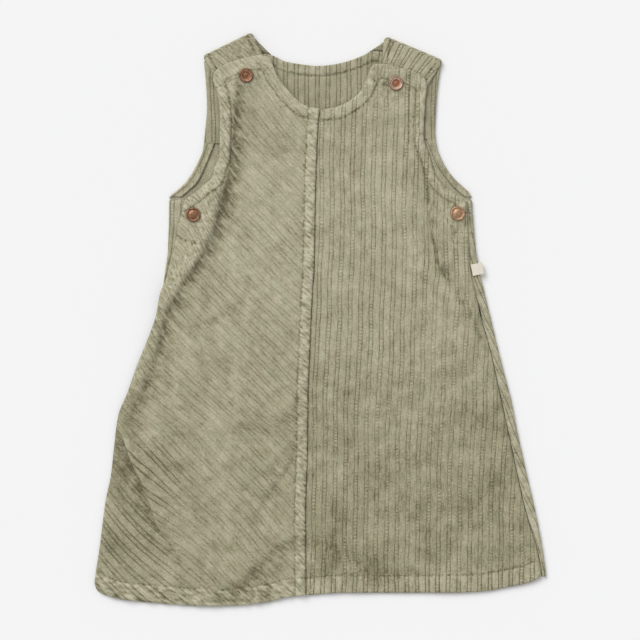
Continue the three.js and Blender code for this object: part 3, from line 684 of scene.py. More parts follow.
def gathered(x, y):
    """How much cloth the long crease has taken up so far: a smooth step from left of the crest to its
    foot, so the wales crowd and stand steeper on the roll."""
    crest, rise = fold_at(STEEP_FOLDS["armhole"][1], y)[:2]
    return np.clip(rise / FULL_RISE, 0, 1) * GATHERED * step(x - crest, -15, 7)


def cockle(x, y, bias):
    """The small waves of washed cloth that was never ironed: noise of 5, 11 and 30 mm together, with
    less of the middle one in the straight front, whose wales keep it flat."""
    middle = mix(0.2, 0.34, bias) * soft_noise(x, y, 11, 8)
    return 0.2 + 0.15 * soft_noise(x, y, 5, 7) + middle + 0.36 * soft_noise(x, y, 30, 9)


def snap_distance(x, y):
    """The distance from each point to the nearest snap's middle."""
    return np.min([np.hypot(x - sx, y - sy) for sx, sy in zip(SNAPS["x"], SNAPS["y"])], axis=0)


AIR, PRESSED = 0.2, 0.1  # the fronts lie loosely on the back, and sink a little onto its flaps
STUD, SIDE_RISE = 1.4, 0.5  # a stud's height, and how the right side seam stands up


def front_base(x, y):
    """The underside of a front as points: a height that clears the back, facings, straps, flaps and
    studs, as in the solid model, with the folds lifted and leaned."""
    from_left, from_right = x - left_side(y), right_side(y) - x
    left_flap = fade(from_left, 34, 48) * step(y, 2, 24) * fade(y, 112, 134)
    right_flap = fade(from_right, 32, 46) * step(y, -8, 12) * fade(y, 112, 134)
    near_snap = snap_distance(x, y)
    height = CLOTH + GAP + AIR + (GAP + FACING) * step(y, 148, 158)
    height += (STRAP_TOP - FACING_TOP) * step(y, 172, 186)
    height += (FLAP_TOP - CLOTH - PRESSED) * (left_flap + right_flap)
    height += SIDE_RISE * fade(from_right, 14, 34) * fade(y, -8, 12)
    height += (STUD + GAP) * fade(near_snap, 7, 16)
    lift, push_x, push_y = fold_lift(x, y)
    calm = step(near_snap, 8, 20)
    return np.stack([x + calm * push_x, y + calm * push_y, height + calm * lift], -1)


def front_top(x, y):
    """The height of a front's outer face over a place."""
    return front_base(np.atleast_1d(float(x)), np.atleast_1d(float(y)))[0, 2] + CLOTH


print("a front's top over the shoulder snaps:", round(front_top(SNAPS["x"][0], SNAPS["y"][0]), 2), "mm")

# %% [markdown]
# ## The two fronts
#
# A front runs from the hem to its shoulder tab. Every edge is turned under and topstitched, so the
# cloth is fuller for the width of the turning and a stitched line presses into it. The seam down the
# middle is pressed towards the bias front, whose edge stands a little higher over the two turnings.
# Cloth that is sewn double puckers, and its pile is brushed paler there, with a painted highlight on
# the bias front's puckers and painted shade between them.

# %% Turnings and edges
EDGE_RADIUS, THIN = 1.7, 0.15  # how an edge rounds over, and how thin it ends
HEM_DEPTH, NECK_DEPTH, ARMHOLE_DEPTH, SEAM_DEPTH, TAB_DEPTH = 16, 10.5, 9, 10, 13


def band(distance, depth, rise):
    """A turning: cloth raised by rise within depth of its edge, with a stitched groove at its end."""
    return rise * fade(distance, depth - 0.6, depth + 1.2) - 0.8 * bell(distance - depth - 0.4, 1.1)


def painted_falloff(x, y):
    """Painted light falloff: how light the cloth is painted, darker towards the hem, where the light
    falls off, and darker at the lower left, a painted shade where the cloth turns away."""
    lower = step(-y, -90, 200)
    return 1.02 - 0.24 * lower - 0.1 * step(-y, 0, 60) * fade(x, -200, -110)


def inner_edge(neck, side):
    """The centre seam up to the neck's lowest point, then the neckline."""
    neckline = curve(neck, "y", "x")
    return lambda y: np.where(y < NECK_LOW, seam_line(y) + side * GAP / 2, neckline(y))


print("turnings in mm: hem", HEM_DEPTH, "neck", NECK_DEPTH, "armhole", ARMHOLE_DEPTH, "tab", TAB_DEPTH)

# %% [markdown]
# ### Distances and double cloth
#
# What a turning, a stitch or a snap does to the cloth depends on how far away it is. So the distances
# are measured first, and the places where the cloth is double follow from them.


# %% Distances
def distances(x, y, cut):
    """How far each point is from a front's edges, seam, stitched lines and nearest snap."""
    neck, tab = cut.neck, cut.tab
    to = SimpleNamespace(
        hem=path_distance(x, y, along_path(hem_line, *cut.hem, 40, "x")),
        neck=path_distance(x, y, along_path(curve(neck, "y", "x"), neck["y"][0], neck["y"][-1], 30)),
        tab=path_distance(x, y, along_path(curve(tab, "x", "y"), tab["x"][0], tab["x"][-1], 10, "x")),
        armhole=path_distance(x, y, along_path(cut.outer, *cut.armhole, 30)),
        side=path_distance(x, y, along_path(cut.outer, cut.side_low, cut.armhole[0], 60)),
        seam=np.where(y < NECK_LOW, np.abs(x - seam_line(y)), np.hypot(x - seam_line(y), y - NECK_LOW)),
        line=np.min([path_distance(x, y, path) for path in cut.stitches], axis=0),
        snap=snap_distance(x, y),
    )
    to.edge = np.minimum.reduce([to.hem, to.neck, to.tab, to.armhole, to.side])
    return to


def sewing(x, y, to, bias):
    """Where the cloth is sewn double, and how it puckers there. A bias hem twists as it is sewn, so it
    lies in slanting puckers like a rope's strands, and a seam puckers finely. Loose is 0 at a snap."""
    roped = 2 * np.abs(np.sin((0.8 * x + 1.1 * y) / 3.4 + 1.6 * soft_noise(x, y, 22, 3))) - 1.2
    return SimpleNamespace(
        hem=fade(to.hem, HEM_DEPTH - 1, HEM_DEPTH + 1.5),
        seam=bias * fade(to.seam, SEAM_DEPTH - 1, SEAM_DEPTH + 1),
        armhole=fade(to.armhole, 6, 10), neck=fade(to.neck, 7, 11),
        twist=roped + 0.8 * soft_noise(x, y, 4.5, 6),
        pucker=soft_noise(x, y, 3.2, 4) + 0.7 * soft_noise(x, y, 6, 13),
        loose=step(to.snap, 6.2, 9),
    )


print("from the neck's lowest point to a snap:", round(float(snap_distance(0, NECK_LOW)), 1), "mm")

# %% [markdown]
# ### Relief and light
#
# The same distances raise the turnings, press in the stitched lines, set the grooves' depth, and tell
# the finish where the pile is brushed pale, where it is painted with shade and highlight, and where it
# is bunched up.


# %% Relief and light
SHALLOW, DEEP = 0.55, 1.1  # the depth of a groove as a part of RIB, from place to place


def front_relief(to, sewn, bias):
    """How far turnings, seams, puckers and stitched lines raise or lower the cloth's outer face."""
    relief = band(to.hem, HEM_DEPTH, 0.5) + band(to.neck, NECK_DEPTH, 0.4)
    relief += band(to.armhole, ARMHOLE_DEPTH, 0.3) + band(to.tab, TAB_DEPTH, 0.3) * step(to.neck, 1, 4)
    relief += bias * (band(to.seam, SEAM_DEPTH, 1.1) - 0.35 * bell(to.seam - 2, 0.8))
    relief += bias * (0.85 * sewn.hem * sewn.twist + 0.7 * sewn.seam * sewn.pucker)
    return relief + 0.35 * sewn.armhole * sewn.pucker - 0.5 * bell(to.line, 0.8)


def groove_depth(x, y, sewn, bias):
    """How deep the grooves are: uneven, shallower on the pulled bias front and under a snap, deeper in
    the straight front's hem and in the bias front's lower corner."""
    corner = bias * fade(x, -150, -120) * fade(y, -130, -100)
    depth = RIB * mix(SHALLOW, DEEP, 0.5 + 0.5 * soft_noise(x, y, 26, 5))
    depth *= 1 + 0.6 * sewn.hem * (1 - bias)
    return depth * mix(0.35, 1, sewn.loose) * mix(1, 0.72, bias) * (1 + corner)


def pile_tone_and_painted_shade(x, y, to, sewn, bias):
    """How light the pile is painted: a painted light falloff towards the hem, paler where it is brushed
    over a double edge, a painted highlight on the bias puckers' bumps with painted shade in their
    hollows, and painted shade beside the seam and under the corner's fold, up to the side edge."""
    brushed = np.maximum.reduce([
        1.5 * sewn.seam, mix(1.7, 1, bias) * sewn.hem, 0.7 * sewn.armhole, 0.6 * sewn.neck,
    ])
    # Both fronts are painted darker towards the hem, the straight one more: a painted light falloff.
    lit = painted_falloff(x, y) - (1 - bias) * mix(0.06, 0.17, step(-y, -40, 110)) + 0.17 * brushed
    # A painted highlight on the bias puckers' bumps, and painted shade in their hollows.
    lit += bias * (0.24 * sewn.hem * sewn.twist + 0.16 * sewn.seam * sewn.pucker)
    # Painted shade under the corner's fold, up to the side edge, and in the seam's gap.
    corner_painted_shade = bias * fade(to.side, 14, 24) * bell(y + 126, 17)
    under = fold_at(STEEP_FOLDS["corner"][1], y)[0] - x
    return lit * (1 - 0.7 * corner_painted_shade * step(under, 3, 6)) * (1 - 0.6 * bell(to.seam, 1.1))


def crumpled(x, y, to, sewn, bias, shade):
    """How bunched up the cloth is: where it is double, on the long crease, round a snap, and in the
    painted shade at the crease's foot, whose lumps break that shade into crinkles.
    """
    crest, rise = fold_at(STEEP_FOLDS["armhole"][1], y)[:2]
    rolled = bias * np.clip(rise / FULL_RISE, 0, 1) * bell(x - crest + 3, 9)
    return np.maximum.reduce([
        sewn.seam, mix(0.35, 1, bias) * sewn.hem, 0.7 * sewn.armhole, 0.9 * rolled, 0.6 * shade,
        0.5 * sewn.neck, 0.6 * fade(to.snap, 9, 22) * sewn.loose,
    ])


print("grooves in mm, from", round(RIB * SHALLOW, 2), "to", round(RIB * DEEP, 2), "deep")

# %% [markdown]
# ### From a cut to a front
#
# A front is the underside that front_base gives, and above it an outer face at the cloth's thickness,
# with the relief added and the grooves taken away. A cut holds all that tells one front from another.


# %% Making a front
FRONT_LENGTH = 480


def build_front(cut):
    """A front: y = hem to tab at each u, straight across between its edges at each height, with its
    turnings, ribs everywhere, and the folds of front_base."""
    bias, inner, top = cut.bias, inner_edge(cut.neck, -1 if cut.bias else 1), curve(cut.tab, "x", "y")
    left, right = (cut.outer, inner) if bias else (inner, cut.outer)

    def height(u, v):
        return mix(hem_line(mix(*cut.hem, u)), top(mix(cut.tab["x"][0], cut.tab["x"][-1], u)), v)

    rows = rows_of(FRONT_LENGTH, 1.75 if bias else 2.6)
    x, y, across, triangles = wale_grid(left, right, height, cut.columns, rows, cut.lean, cut.wander)
    for corner in cut.corners:
        x, y = round_corner(x, y, *corner)
    to = distances(x, y, cut)
    sewn = sewing(x, y, to, bias)
    grooves = groove_depth(x, y, sewn, bias) * (1 - rib_height(across / cut.slant))
    full = np.minimum(rounded(to.edge, EDGE_RADIUS), mix(0.45, 1, rounded(to.seam, 1.4)))
    thickness = THIN + full * (CLOTH - THIN + np.maximum(front_relief(to, sewn, bias), -0.5) - grooves)
    base = front_base(x, y)
    base[:, 2] += cockle(x, y, bias) * sewn.loose
    outer = base + normals_of(base, triangles) * thickness[:, None]
    shade = crinkled(crease_shade(x, y), across, y)
    turning = np.minimum.reduce([
        to.hem - HEM_DEPTH, to.neck - NECK_DEPTH, to.tab - TAB_DEPTH, to.armhole - ARMHOLE_DEPTH,
    ])
    # The pile mark: the painted tone, times painted shade in the grooves and at the folds' feet.
    outer_marks = marks(
        pile_tone_and_painted_shade(x, y, to, sewn, bias) * (1 - grooves / RIB) * (1 - 0.8 * shade),
        crumpled(x, y, to, sewn, bias, shade),
        to.seam - SEAM_DEPTH if bias else FAR, turning, np.minimum(to.line, FAR),
    )
    wales = np.stack([across / cut.slant, y * cut.slant], -1)
    shell = *close_wall(outer, base, triangles), *both_faces(wales, outer_marks)
    return new_piece(cut.name, shell, cut.material, cut.node, cut.sheet)


print("rows along the straight front:", len(rows_of(FRONT_LENGTH, 2.6)))

# %% [markdown]
# ### Straight grain and bias
#
# On the straight front the wales run up and down. On the bias front they slant from upper left to
# lower right at 46 degrees, and stand steeper in the lower corner, where the cloth is pulled, and on
# the long crease, which gathers it. Cloth never lies perfectly true, so both wander by a millimetre.

# %% Building the fronts
STRAIGHT_LEAN = -0.025
BIAS_LEAN = 1 / np.tan(np.radians(46))
BIAS_SLANT = 1 / np.sin(np.radians(46))


def bias_wander(x, y):
    """Slow waves of about 1 mm, and a steeper pull in the lower corner."""
    pull = 0.16 * np.minimum(y + 95, 0) * fade(x, -190, -90)
    return pull - gathered(x, y) + 1.1 * np.sin(x / 31 + y / 47) + 0.6 * np.sin(y / 19 - x / 23 + 1)


def straight_wander(x, y):
    """Slow waves of about 1 mm along the wales."""
    slow = 0.9 * np.sin(y / 43 + x / 60) + 0.45 * np.sin(y / 17 + x / 29 + 2)
    return slow + 0.25 * np.sin(y / 8.5 + x / 13)


LEFT = SimpleNamespace(
    name="front_left_cloth", node="front_left_panel", bias=1, material=bias_corduroy,
    sheet=(0.216, 0.497, "laid", ["back_panel", "strap_left"]),
    columns=wale_columns(-460, 280, BIAS_SLANT), lean=BIAS_LEAN, slant=BIAS_SLANT, wander=bias_wander,
    outer=left_edge, side_low=LEFT_OUTER["y"][0], armhole=(107, 222.3), neck=NECK_LEFT, tab=TAB_LEFT,
    hem=(-203.4, -12.2),
    corners=[
        ((-96.3, 222.3), (-85, 230), (-96, 212), 6), ((-49, 238.6), (-61, 237), (-43, 230.5), 7),
        ((-203.4, -241), (-202, -228), (-192, -247.5), 7),
    ],
    stitches=[
        [(-128.7, 75.6), (-113.8, 68.1), (-101.7, 71)], [(-94, 208), (-80, 215), (-62, 221), (-42, 226)],
    ],
)
RIGHT = SimpleNamespace(
    name="front_right_cloth", node="front_right_panel", bias=0, material=sage_corduroy,
    sheet=(0.213, 0.478, "laid", ["back_panel", "strap_right"]),
    columns=wale_columns(-20, 215, 1), lean=STRAIGHT_LEAN, slant=1, wander=straight_wander,
    outer=right_edge, side_low=RIGHT_OUTER["y"][0], armhole=(105, 217), neck=NECK_RIGHT, tab=TAB_RIGHT,
    hem=(-12.2, 199.8),
    corners=[
        ((95, 217), (84, 223.2), (95.9, 207), 5), ((46.8, 230), (59, 229.6), (43, 220), 5),
        ((199.8, -231.3), (198.3, -221), (187, -236.2), 6),
    ],
    stitches=[
        [(45, 216), (61.2, 209.7)], [(80, 219), (80, 157.5)], [(118.8, 78.3), (132.3, 78.3)],
        [(118.8, 69), (133, 69)], [(118.8, 69), (118.8, 106)],
    ],
)
for cut in (LEFT, RIGHT):
    build_front(cut)

# %% [markdown]
# ## The back and its rolled sides
#
# The back is one piece whose side edges come round to the front, where they show beside the fronts.
# It is built in unrolled cloth: a column's place is measured along the cloth, flat, then round the
# roll, then back over the top. The wales stay straight in the cloth, so where it rolls round a
# slanting edge they slant twice as much, like the strands of a rope, as they do on the real dress.

# %% Shells of cloth
def cloth_shell(mid, triangles, thickness, ribs, full, wales, outer_marks, inner_pile=0.5):
    """A closed wall round a middle surface: its outer face stands at thickness (1/2) less the depth of
    the grooves, its inner face at thickness (1/2), and both close in where full falls to 0."""
    normals = normals_of(mid, triangles)
    half, open_part = thickness / 2, np.maximum(full, 0.12)
    outer = mid + normals * ((half - RIB * (1 - ribs)) * open_part)[:, None]
    inner = mid - normals * (half * open_part)[:, None]
    return *close_wall(outer, inner, triangles), *both_faces(wales, outer_marks, inner_pile)


def joined(*shells):
    """Several shells as one: points, triangles, wale coordinates and marks, one after another."""
    shift = np.cumsum([0] + [len(shell[0]) for shell in shells[:-1]])
    faces = np.concatenate([shell[1] + start for shell, start in zip(shells, shift)])
    points, wales, numbers = (np.concatenate([shell[k] for shell in shells]) for k in (0, 2, 3))
    return points, faces, wales, numbers


def flat_piece(left, right, height, columns, rows, floor, thickness, up=1, depth=None):
    """A flat shell between two edges, with ribs on its upper or lower face, its edges rounded over,
    and if a depth is given, a turning of that depth along its upper edge."""
    x, y, across, triangles = wale_grid(left, right, height, columns, rows, wander=straight_wander)
    from_top = np.abs(height((x - left(y)) / (right(y) - left(y)), 1) - y)
    edge = np.minimum.reduce([x - left(y), right(y) - x, np.abs(y - height(0.5, 0)), from_top])
    turned = depth is not None
    relief = band(from_top, depth, 0.4) if turned else 0
    in_band = fade(from_top, depth - 1, depth + 1) if turned else 0
    mid = np.stack([x, y, np.full(len(x), floor + thickness / 2)], -1)
    ribs = rib_height(across)
    to_line = from_top - depth if turned else FAR
    outer_marks = marks(ribs * (1 + 0.15 * in_band), 0.4 * in_band, turning=to_line)
    return cloth_shell(
        mid, triangles if up > 0 else triangles[:, ::-1], thickness, ribs + relief / RIB,
        rounded(np.abs(edge), 1.2), np.stack([across, y], -1), outer_marks, 0.98,
    )


def rolled_side(side, end, heights):
    """A rolled side edge in unrolled cloth. With d the distance past the roll's centre, the cloth is
    flat for d < 0, an arc for 0 < d < pi r, and flat on top from there to the flap's end."""
    outline = left_side if side < 0 else right_side
    reach, turn = ROLL + CLOTH / 2, np.pi * ROLL

    def centre(y):
        return side * outline(y) - reach

    def first(y):
        return centre(y) - 8

    def last(y):
        return centre(y) + turn + np.maximum(centre(y) - side * end(y), 0.5)

    def height(u, v):
        return mix(heights[0], heights[-1], v) + 0 * u

    x, y, across, triangles = wale_grid(
        first, last, height, wale_columns(60, 290, 1), rows_like(heights), wander=straight_wander
    )
    d = x - centre(y)
    angle = np.clip(d / ROLL, 0, np.pi)
    out = np.where(d < 0, x, centre(y) + ROLL * np.sin(angle) - np.maximum(d - turn, 0))
    # The top of the right roll is lumpy where the seam allowance inside it is thick and thin.
    lumps = 0.35 * np.sin(y / 2.3 + 0.8 * np.sin(y / 9)) * step(d, turn * 0.5, turn + 3)
    mid = np.stack([side * out, y, reach - ROLL * np.cos(angle) + lumps * (side > 0)], -1)
    ribs = rib_height(across)
    return cloth_shell(
        mid, triangles[:, ::-1] if side > 0 else triangles, CLOTH, ribs,
        rounded(np.minimum(last(y) - x, y[-1] - y), 1.2), np.stack([across, y], -1),
        marks(ribs, 0.35 * (side > 0)),
    )


def back_height(u, v):
    """The back's heights, from just inside the fronts' hem to the strap seams and the neckline."""
    return mix(hem_line(mix(-199, 199, u)) + HEM_INSET, back_top(mix(-104.4, 109.4, u)), v)


print("a rolled edge stands", FLAP_TOP, "mm high, and a folded strap", STRAP_TOP)

# %% Building the back
ROLL_INSET = ROLL + CLOTH / 2 + 2  # how far the flat part stays inside a rolled side
back_sheet = flat_piece(
    lambda y: left_side(y) + ROLL_INSET * step(y, 10, 22) * fade(y, 105, 110),
    lambda y: right_side(y) - ROLL_INSET * fade(y, 105, 110),
    back_height, wale_columns(-215, 215, 1)[::2], rows_of(FRONT_LENGTH, 7), 0, CLOTH, up=-1,
)
left_flap, right_flap = curve(LEFT_FLAP_END, "y", "x"), curve(RIGHT_FLAP_END, "y", "x")


def right_roll_end(y):
    """The right flap's end: just outside the front's edge below, under its placket above."""
    return np.where(y < 2, right_edge(y) + GAP, right_flap(y))


back_shell = joined(
    back_sheet,
    rolled_side(-1, left_flap, np.linspace(24, 108, 46)),
    rolled_side(1, right_roll_end, np.linspace(-230.3, 108, 170)),
)
sheet = (0.408, 0.5, "folded", ["floor"])
new_piece("back_cloth", back_shell, sage_corduroy, "back_panel", sheet)

# %% [markdown]
# ## The straps
#
# Each strap is sewn to the top of the back, runs up to the shoulder, folds over and comes down under
# a front's tab. It is a profile, a line, a half circle and a line, carried along the fold. The wales
# run along the strap, so the fold shows them end on as a row of small scallops. The left strap is
# brushed soft with wear, so most of its grooves are hidden.

# %% Straps
SCALLOP, FOLD_CORNER, STRAP_TURNING = 0.5, 3.5, 5
TO_SEAM, TO_END = 20, 40  # lengths of cloth from the fold back to the seam and down to the free end
GROOVES_SHOW = (0.28, 5)  # where along the fold the brushed strap's grooves still show, and how widely


def strap_profile(fold, seam, end, s, t, width):
    """The strap's middle surface, s millimetres along the fold and t round the profile: from the seam
    on the back to the fold for t < 0, half a circle for 0..1, and on to the free end."""
    outer, inner = (np.array(p, dtype=float) for p in fold)
    line = (inner - outer) / width
    toward = np.array([line[1], -line[0]]) * (1 if -line[0] < 0 else -1)
    reach = STRAP_ROLL + CLOTH / 2
    u = (s / width)[:, None]
    # The fold's two corners are rounded: it draws back in a quarter circle.
    back = FOLD_CORNER * (1 - rounded(np.minimum(s, width - s), 5))
    base = outer + (inner - outer) * u + toward * reach + toward * back[:, None]
    seam_x = mix(seam[0], seam[1], u[:, 0])
    start = np.stack([seam_x, back_top(seam_x) + GAP], -1)
    finish = np.array(end[0], dtype=float) + (np.array(end[1], dtype=float) - end[0]) * u
    angle = np.pi * np.clip(t, 0, 1)
    place = np.select(
        [(t < 0)[:, None], (t > 1)[:, None]],
        [mix(base, start, np.clip(-t, 0, 1)[:, None]), mix(base, finish, np.clip(t - 1, 0, 1)[:, None])],
        base - toward * (STRAP_ROLL * np.sin(angle))[:, None],
    )
    return np.concatenate([place, (reach - STRAP_ROLL * np.cos(angle))[:, None]], -1)


def strap_shell(fold, seam, end, lean, brushed):
    """A strap. u runs along the fold from its outer to its inner end, and t round the profile. The
    wales lean by so many millimetres from end to end, and brushed says how far the pile hides its
    grooves."""
    width = np.hypot(*(np.array(fold[1]) - fold[0]))
    rows = np.concatenate([np.linspace(-1, 0, 5)[:-1], np.linspace(0, 1, 13), np.linspace(1, 2, 20)[1:]])

    def turns(u, v):
        return mix(rows[0], rows[-1], v) + 0 * u

    columns = wale_columns(-30, width + 30, 1)
    s, t, across, triangles = wale_grid(level(0), level(width), turns, columns, rows_like(rows), lean)
    mid = strap_profile(fold, seam, end, s, t, width)
    ribs, from_side = rib_height(across), np.minimum(s, width - s)
    # Round the fold the pile opens and stands in scallops.
    scallops = SCALLOP * (1 - ribs) * step(t, 0, 0.3) * fade(t, 0.8, 1.3)
    relief = band(from_side, STRAP_TURNING, 0.3) - scallops
    round_fold = STRAP_ROLL * np.pi
    along = np.select([t < 0, t > 1], [t * TO_SEAM, round_fold + (t - 1) * TO_END], t * round_fold)
    shown = bell(s - GROOVES_SHOW[0] * width, GROOVES_SHOW[1])
    seen = mix(ribs, 0.68, brushed * (1 - shown))
    if (normals_of(mid, triangles) * (mid - mid.mean(axis=0))).sum() < 0:
        triangles = triangles[:, ::-1]
    points, *rest = cloth_shell(
        mid, triangles, CLOTH, ribs + relief / RIB,
        rounded(np.minimum(from_side, (rows[-1] - t) * TO_END), 1.2), np.stack([across, along], -1),
        marks(seen, 0.35 + 0.4 * brushed, turning=from_side - STRAP_TURNING),
    )
    points[:, 2] = np.maximum(points[:, 2], 0)
    return points, *rest


STRAPS = {
    "strap_left": (
        [(-105.3, 237.6), (-61.6, 258.8)], (-104.2, -44), [(-82.5, 198.8), (-43, 221)], -16, 0.65,
        (0.049, 0.066, "folded", ["floor"]),
    ),
    "strap_right": (
        [(110.2, 234), (59.4, 255.2)], (109.2, 44), [(85.3, 190.7), (54.3, 209.7)], -12, 0,
        (0.0555, 0.066, "folded", ["floor"]),
    ),
}
for name, (*shape, sheet) in STRAPS.items():
    new_piece(f"{name}_cloth", strap_shell(*shape), sage_corduroy, name, sheet)

# %% [markdown]
# ## The facings
#
# Facings are shaped strips that turn the raw edges of the neck and armholes to the inside. Their right
# side faces up here, because the dress's inside shows through the neck and armholes. Their cloth is
# painted a little darker than the sage corduroy, a painted shade of the dress's inside, and a narrow one
# ends in a painted dark line of shade, where its inner edge stands off the back.

# %% Facings
def facing_shell(low_line, high_line, left, right, depth):
    """A facing between two lines y(x), with a turning of the given depth along its upper edge."""
    return flat_piece(
        left, right, lambda u, v: mix(low_line, high_line(u), v), wale_columns(-120, 125, 1),
        rows_of(70, 2.5), FACING_FLOOR, FACING, depth=depth,
    )


FACINGS = {
    "neck_facing": (
        176, lambda u: back_top(mix(-50.5, 58, u)) - 0.2, level(-50.5), level(58), 9, (0.1095, 0.067),
    ),
    "strap_facing_left": (
        158.6, lambda u: mix(231, 234, u), lambda y: left_side(y) + GAP, level(-70), None, (0.037, 0.076),
    ),
    "strap_facing_right": (
        162.4, lambda u: mix(233, 227, u), level(72), lambda y: right_side(y) - GAP, None, (0.037, 0.071),
    ),
}
for name, (*edges, size) in FACINGS.items():
    sheet = (*size, "laid", ["back_panel"])
    new_piece(f"{name}_cloth", facing_shell(*edges), shaded_facing_corduroy, name, sheet)

# %% Armhole facings
ARMHOLE_FACINGS = {
    "armhole_facing_left": table(
        "outer_x outer_y inner_x inner_y",
        (-103.8, 159.6, -94.2, 159.6), (-105, 153, -97, 152), (-109.5, 142, -101.5, 141),
        (-115.4, 131, -106, 130.5), (-123, 121, -110.7, 122.6), (-130, 115.3, -117, 116.8),
        (-135, 110.8, -124, 110.8),
    ),
    "armhole_facing_right": table(
        "outer_x outer_y inner_x inner_y",
        (103.4, 163.4, 95.4, 163.4), (105.5, 153, 99.8, 152), (110.4, 142, 104, 141),
        (117.2, 131, 109.8, 132), (127, 121, 116.6, 123), (133.6, 115.2, 122.8, 116.4),
        (136, 110.8, 130, 110.8),
    ),
}


ARMHOLE_WIDTH, ARMHOLE_LENGTH = 9, 60


def armhole_shell(rows):
    """A narrow facing round an armhole: straight across from its outer to its inner edge."""
    rows = {**rows, "t": np.linspace(0, 1, len(rows["outer_x"]))}
    u, t = np.meshgrid(np.linspace(0, 1, 28), np.linspace(0, 1, 60))
    x, y = (
        mix(curve(rows, "t", "outer_" + axis)(t), curve(rows, "t", "inner_" + axis)(t), u).ravel()
        for axis in "xy"
    )
    triangles = grid_faces(np.arange(u.size).reshape(u.shape))
    mid = np.stack([x, y, np.full(len(x), FACING_FLOOR + FACING / 2)], -1)
    if normals_of(mid, triangles)[:, 2].mean() < 0:
        triangles = triangles[:, ::-1]
    from_edge = np.minimum(u, 1 - u).ravel() * ARMHOLE_WIDTH
    from_end = np.minimum(t, 1 - t).ravel() * ARMHOLE_LENGTH
    ribs = mix(0.55, 1, rib_height(x))
    # The inner edge is painted dark, a painted shade where it stands off the back.
    pile = 1.15 * ribs * (1 - 0.7 * bell((1 - u).ravel() * ARMHOLE_WIDTH, 1.3))
    full = rounded(np.minimum(from_edge, from_end), 1)
    ridged = ribs + band(from_edge, 3, 0.4) / RIB
    return cloth_shell(mid, triangles, FACING, ridged, full, np.stack([x, y], -1), marks(pile, 0.5))


for name, rows in ARMHOLE_FACINGS.items():
    sheet = (0.0115, 0.066, "laid", ["back_panel"])
    new_piece(f"{name}_cloth", armhole_shell(rows), shaded_facing_corduroy, name, sheet)

# %% [markdown]
# ## Snaps
#
# Each snap is a cap and a socket pressed together through the cloth. The cap is turned: a rolled rim,
# a dished ring, a step and a domed middle. It is a profile spun round its own axis, with a polish for
# each ring. The plating has worn in three ways: bright on one shoulder snap, browner on another and on
# the left side snap, and pale on the right side snap, as they rubbed on other things.

# %% Copper snaps
def copper(name, bright, middle, dark):
    """Antique copper plating: polished where the profile stands high, redder in its hollows, and
    with a dark brown patina in patches."""
    material, tree, shader = new_material(name)
    place = node(tree, COORDINATES, out="Object")
    polish = node(tree, ATTRIBUTE, out="Fac", attribute_name="pile")
    # Tarnish in patches about 1.5 mm across.
    tarnish = node(tree, NOISE, {"Vector": place, "Scale": 500.0, "Detail": 3.0, "Roughness": 0.6})
    plating = node(
        tree, MIX, {"Factor": polish, "A": linear(middle), "B": linear(bright)}, out="Result",
        data_type="RGBA",
    )
    spots = node(tree, RANGE, {"Value": tarnish, "From Min": 0.6, "From Max": 0.3, "To Max": 0.8})
    mixed = node(
        tree, MIX, {"Factor": spots, "A": plating, "B": linear(dark)}, out="Result", data_type="RGBA",
    )
    rough = node(tree, RANGE, {"Value": tarnish, "To Min": 0.62, "To Max": 0.45})
    plug(tree, shader, {"Base Color": mixed, "Roughness": rough, "Metallic": 1.0})
    return material


def lathe(profile, x, y, z, count=64):
    """A profile of radius, height and polish spun round an upright axis, closed by a point at each
    end. Its marks hold the polish in place of pile."""
    radius, height, polish = np.array(profile, dtype=float).T
    angle = np.linspace(0, 2 * np.pi, count, endpoint=False)
    ring_r, ring_h = radius[1:-1, None], height[1:-1, None]
    rings = np.stack([ring_r * np.cos(angle), ring_r * np.sin(angle), ring_h + 0 * angle], -1).reshape(-1, 3)
    points = np.concatenate([rings, [[0, 0, height[0]], [0, 0, height[-1]]]])
    index = np.arange(len(rings)).reshape(-1, count)
    index = np.column_stack([index, index[:, 0]])
    first, last = index[0], index[-1]
    low = np.stack([first[1:], first[:-1], np.full(count, len(rings))], -1)
    high = np.stack([last[:-1], last[1:], np.full(count, len(rings) + 1)], -1)
    shine = np.concatenate([np.repeat(polish[1:-1], count), polish[[0, -1]]])
    faces = np.concatenate([grid_faces(index), low, high])
    return points + [x, y, z], faces, points[:, :2], marks(shine)


SHOULDER_CAP = [
    (0, 0, 0), (5.9, 0, 0), (6.35, 0.35, 0), (6.5, 0.9, 0), (6.4, 1.5, 0.2), (6.05, 1.95, 0.5),
    (5.6, 2.1, 1), (5.15, 1.95, 1), (4.8, 1.6, 0.9), (4.5, 1.45, 0.9), (4.0, 1.45, 1), (3.6, 1.5, 0.9),
    (3.3, 1.3, 0.2), (3.1, 0.95, 0), (2.4, 0.95, 0), (1.4, 1.1, 0.1), (0.5, 1.2, 0.2), (0, 1.2, 0.2),
]
SIDE_CAP = [
    (0, 0, 0), (5.9, 0, 0), (6.35, 0.35, 0), (6.5, 0.9, 0.2), (6.4, 1.5, 0.6), (6.05, 1.95, 1),
    (5.6, 2.1, 1), (5.15, 1.95, 0.8), (4.8, 1.5, 0.3), (4.3, 1.35, 0.3), (3.7, 1.5, 0.6), (3.0, 1.8, 0.8),
    (2.0, 2.05, 0.6), (1.0, 2.15, 0.4), (0, 2.2, 0.4),
]
shoulder_copper = copper("antique_copper_plating", "c9ae9b", "a1684a", "7d5c4e")
left_copper = copper("worn_copper_plating", "a98368", "8f6850", "5d3f2e")
right_copper = copper("rubbed_copper_plating", "c9a88a", "b28e70", "8a664c")
SNAP_FINISH = dict(zip(SNAP_NAMES, [left_copper, shoulder_copper, left_copper, right_copper]))
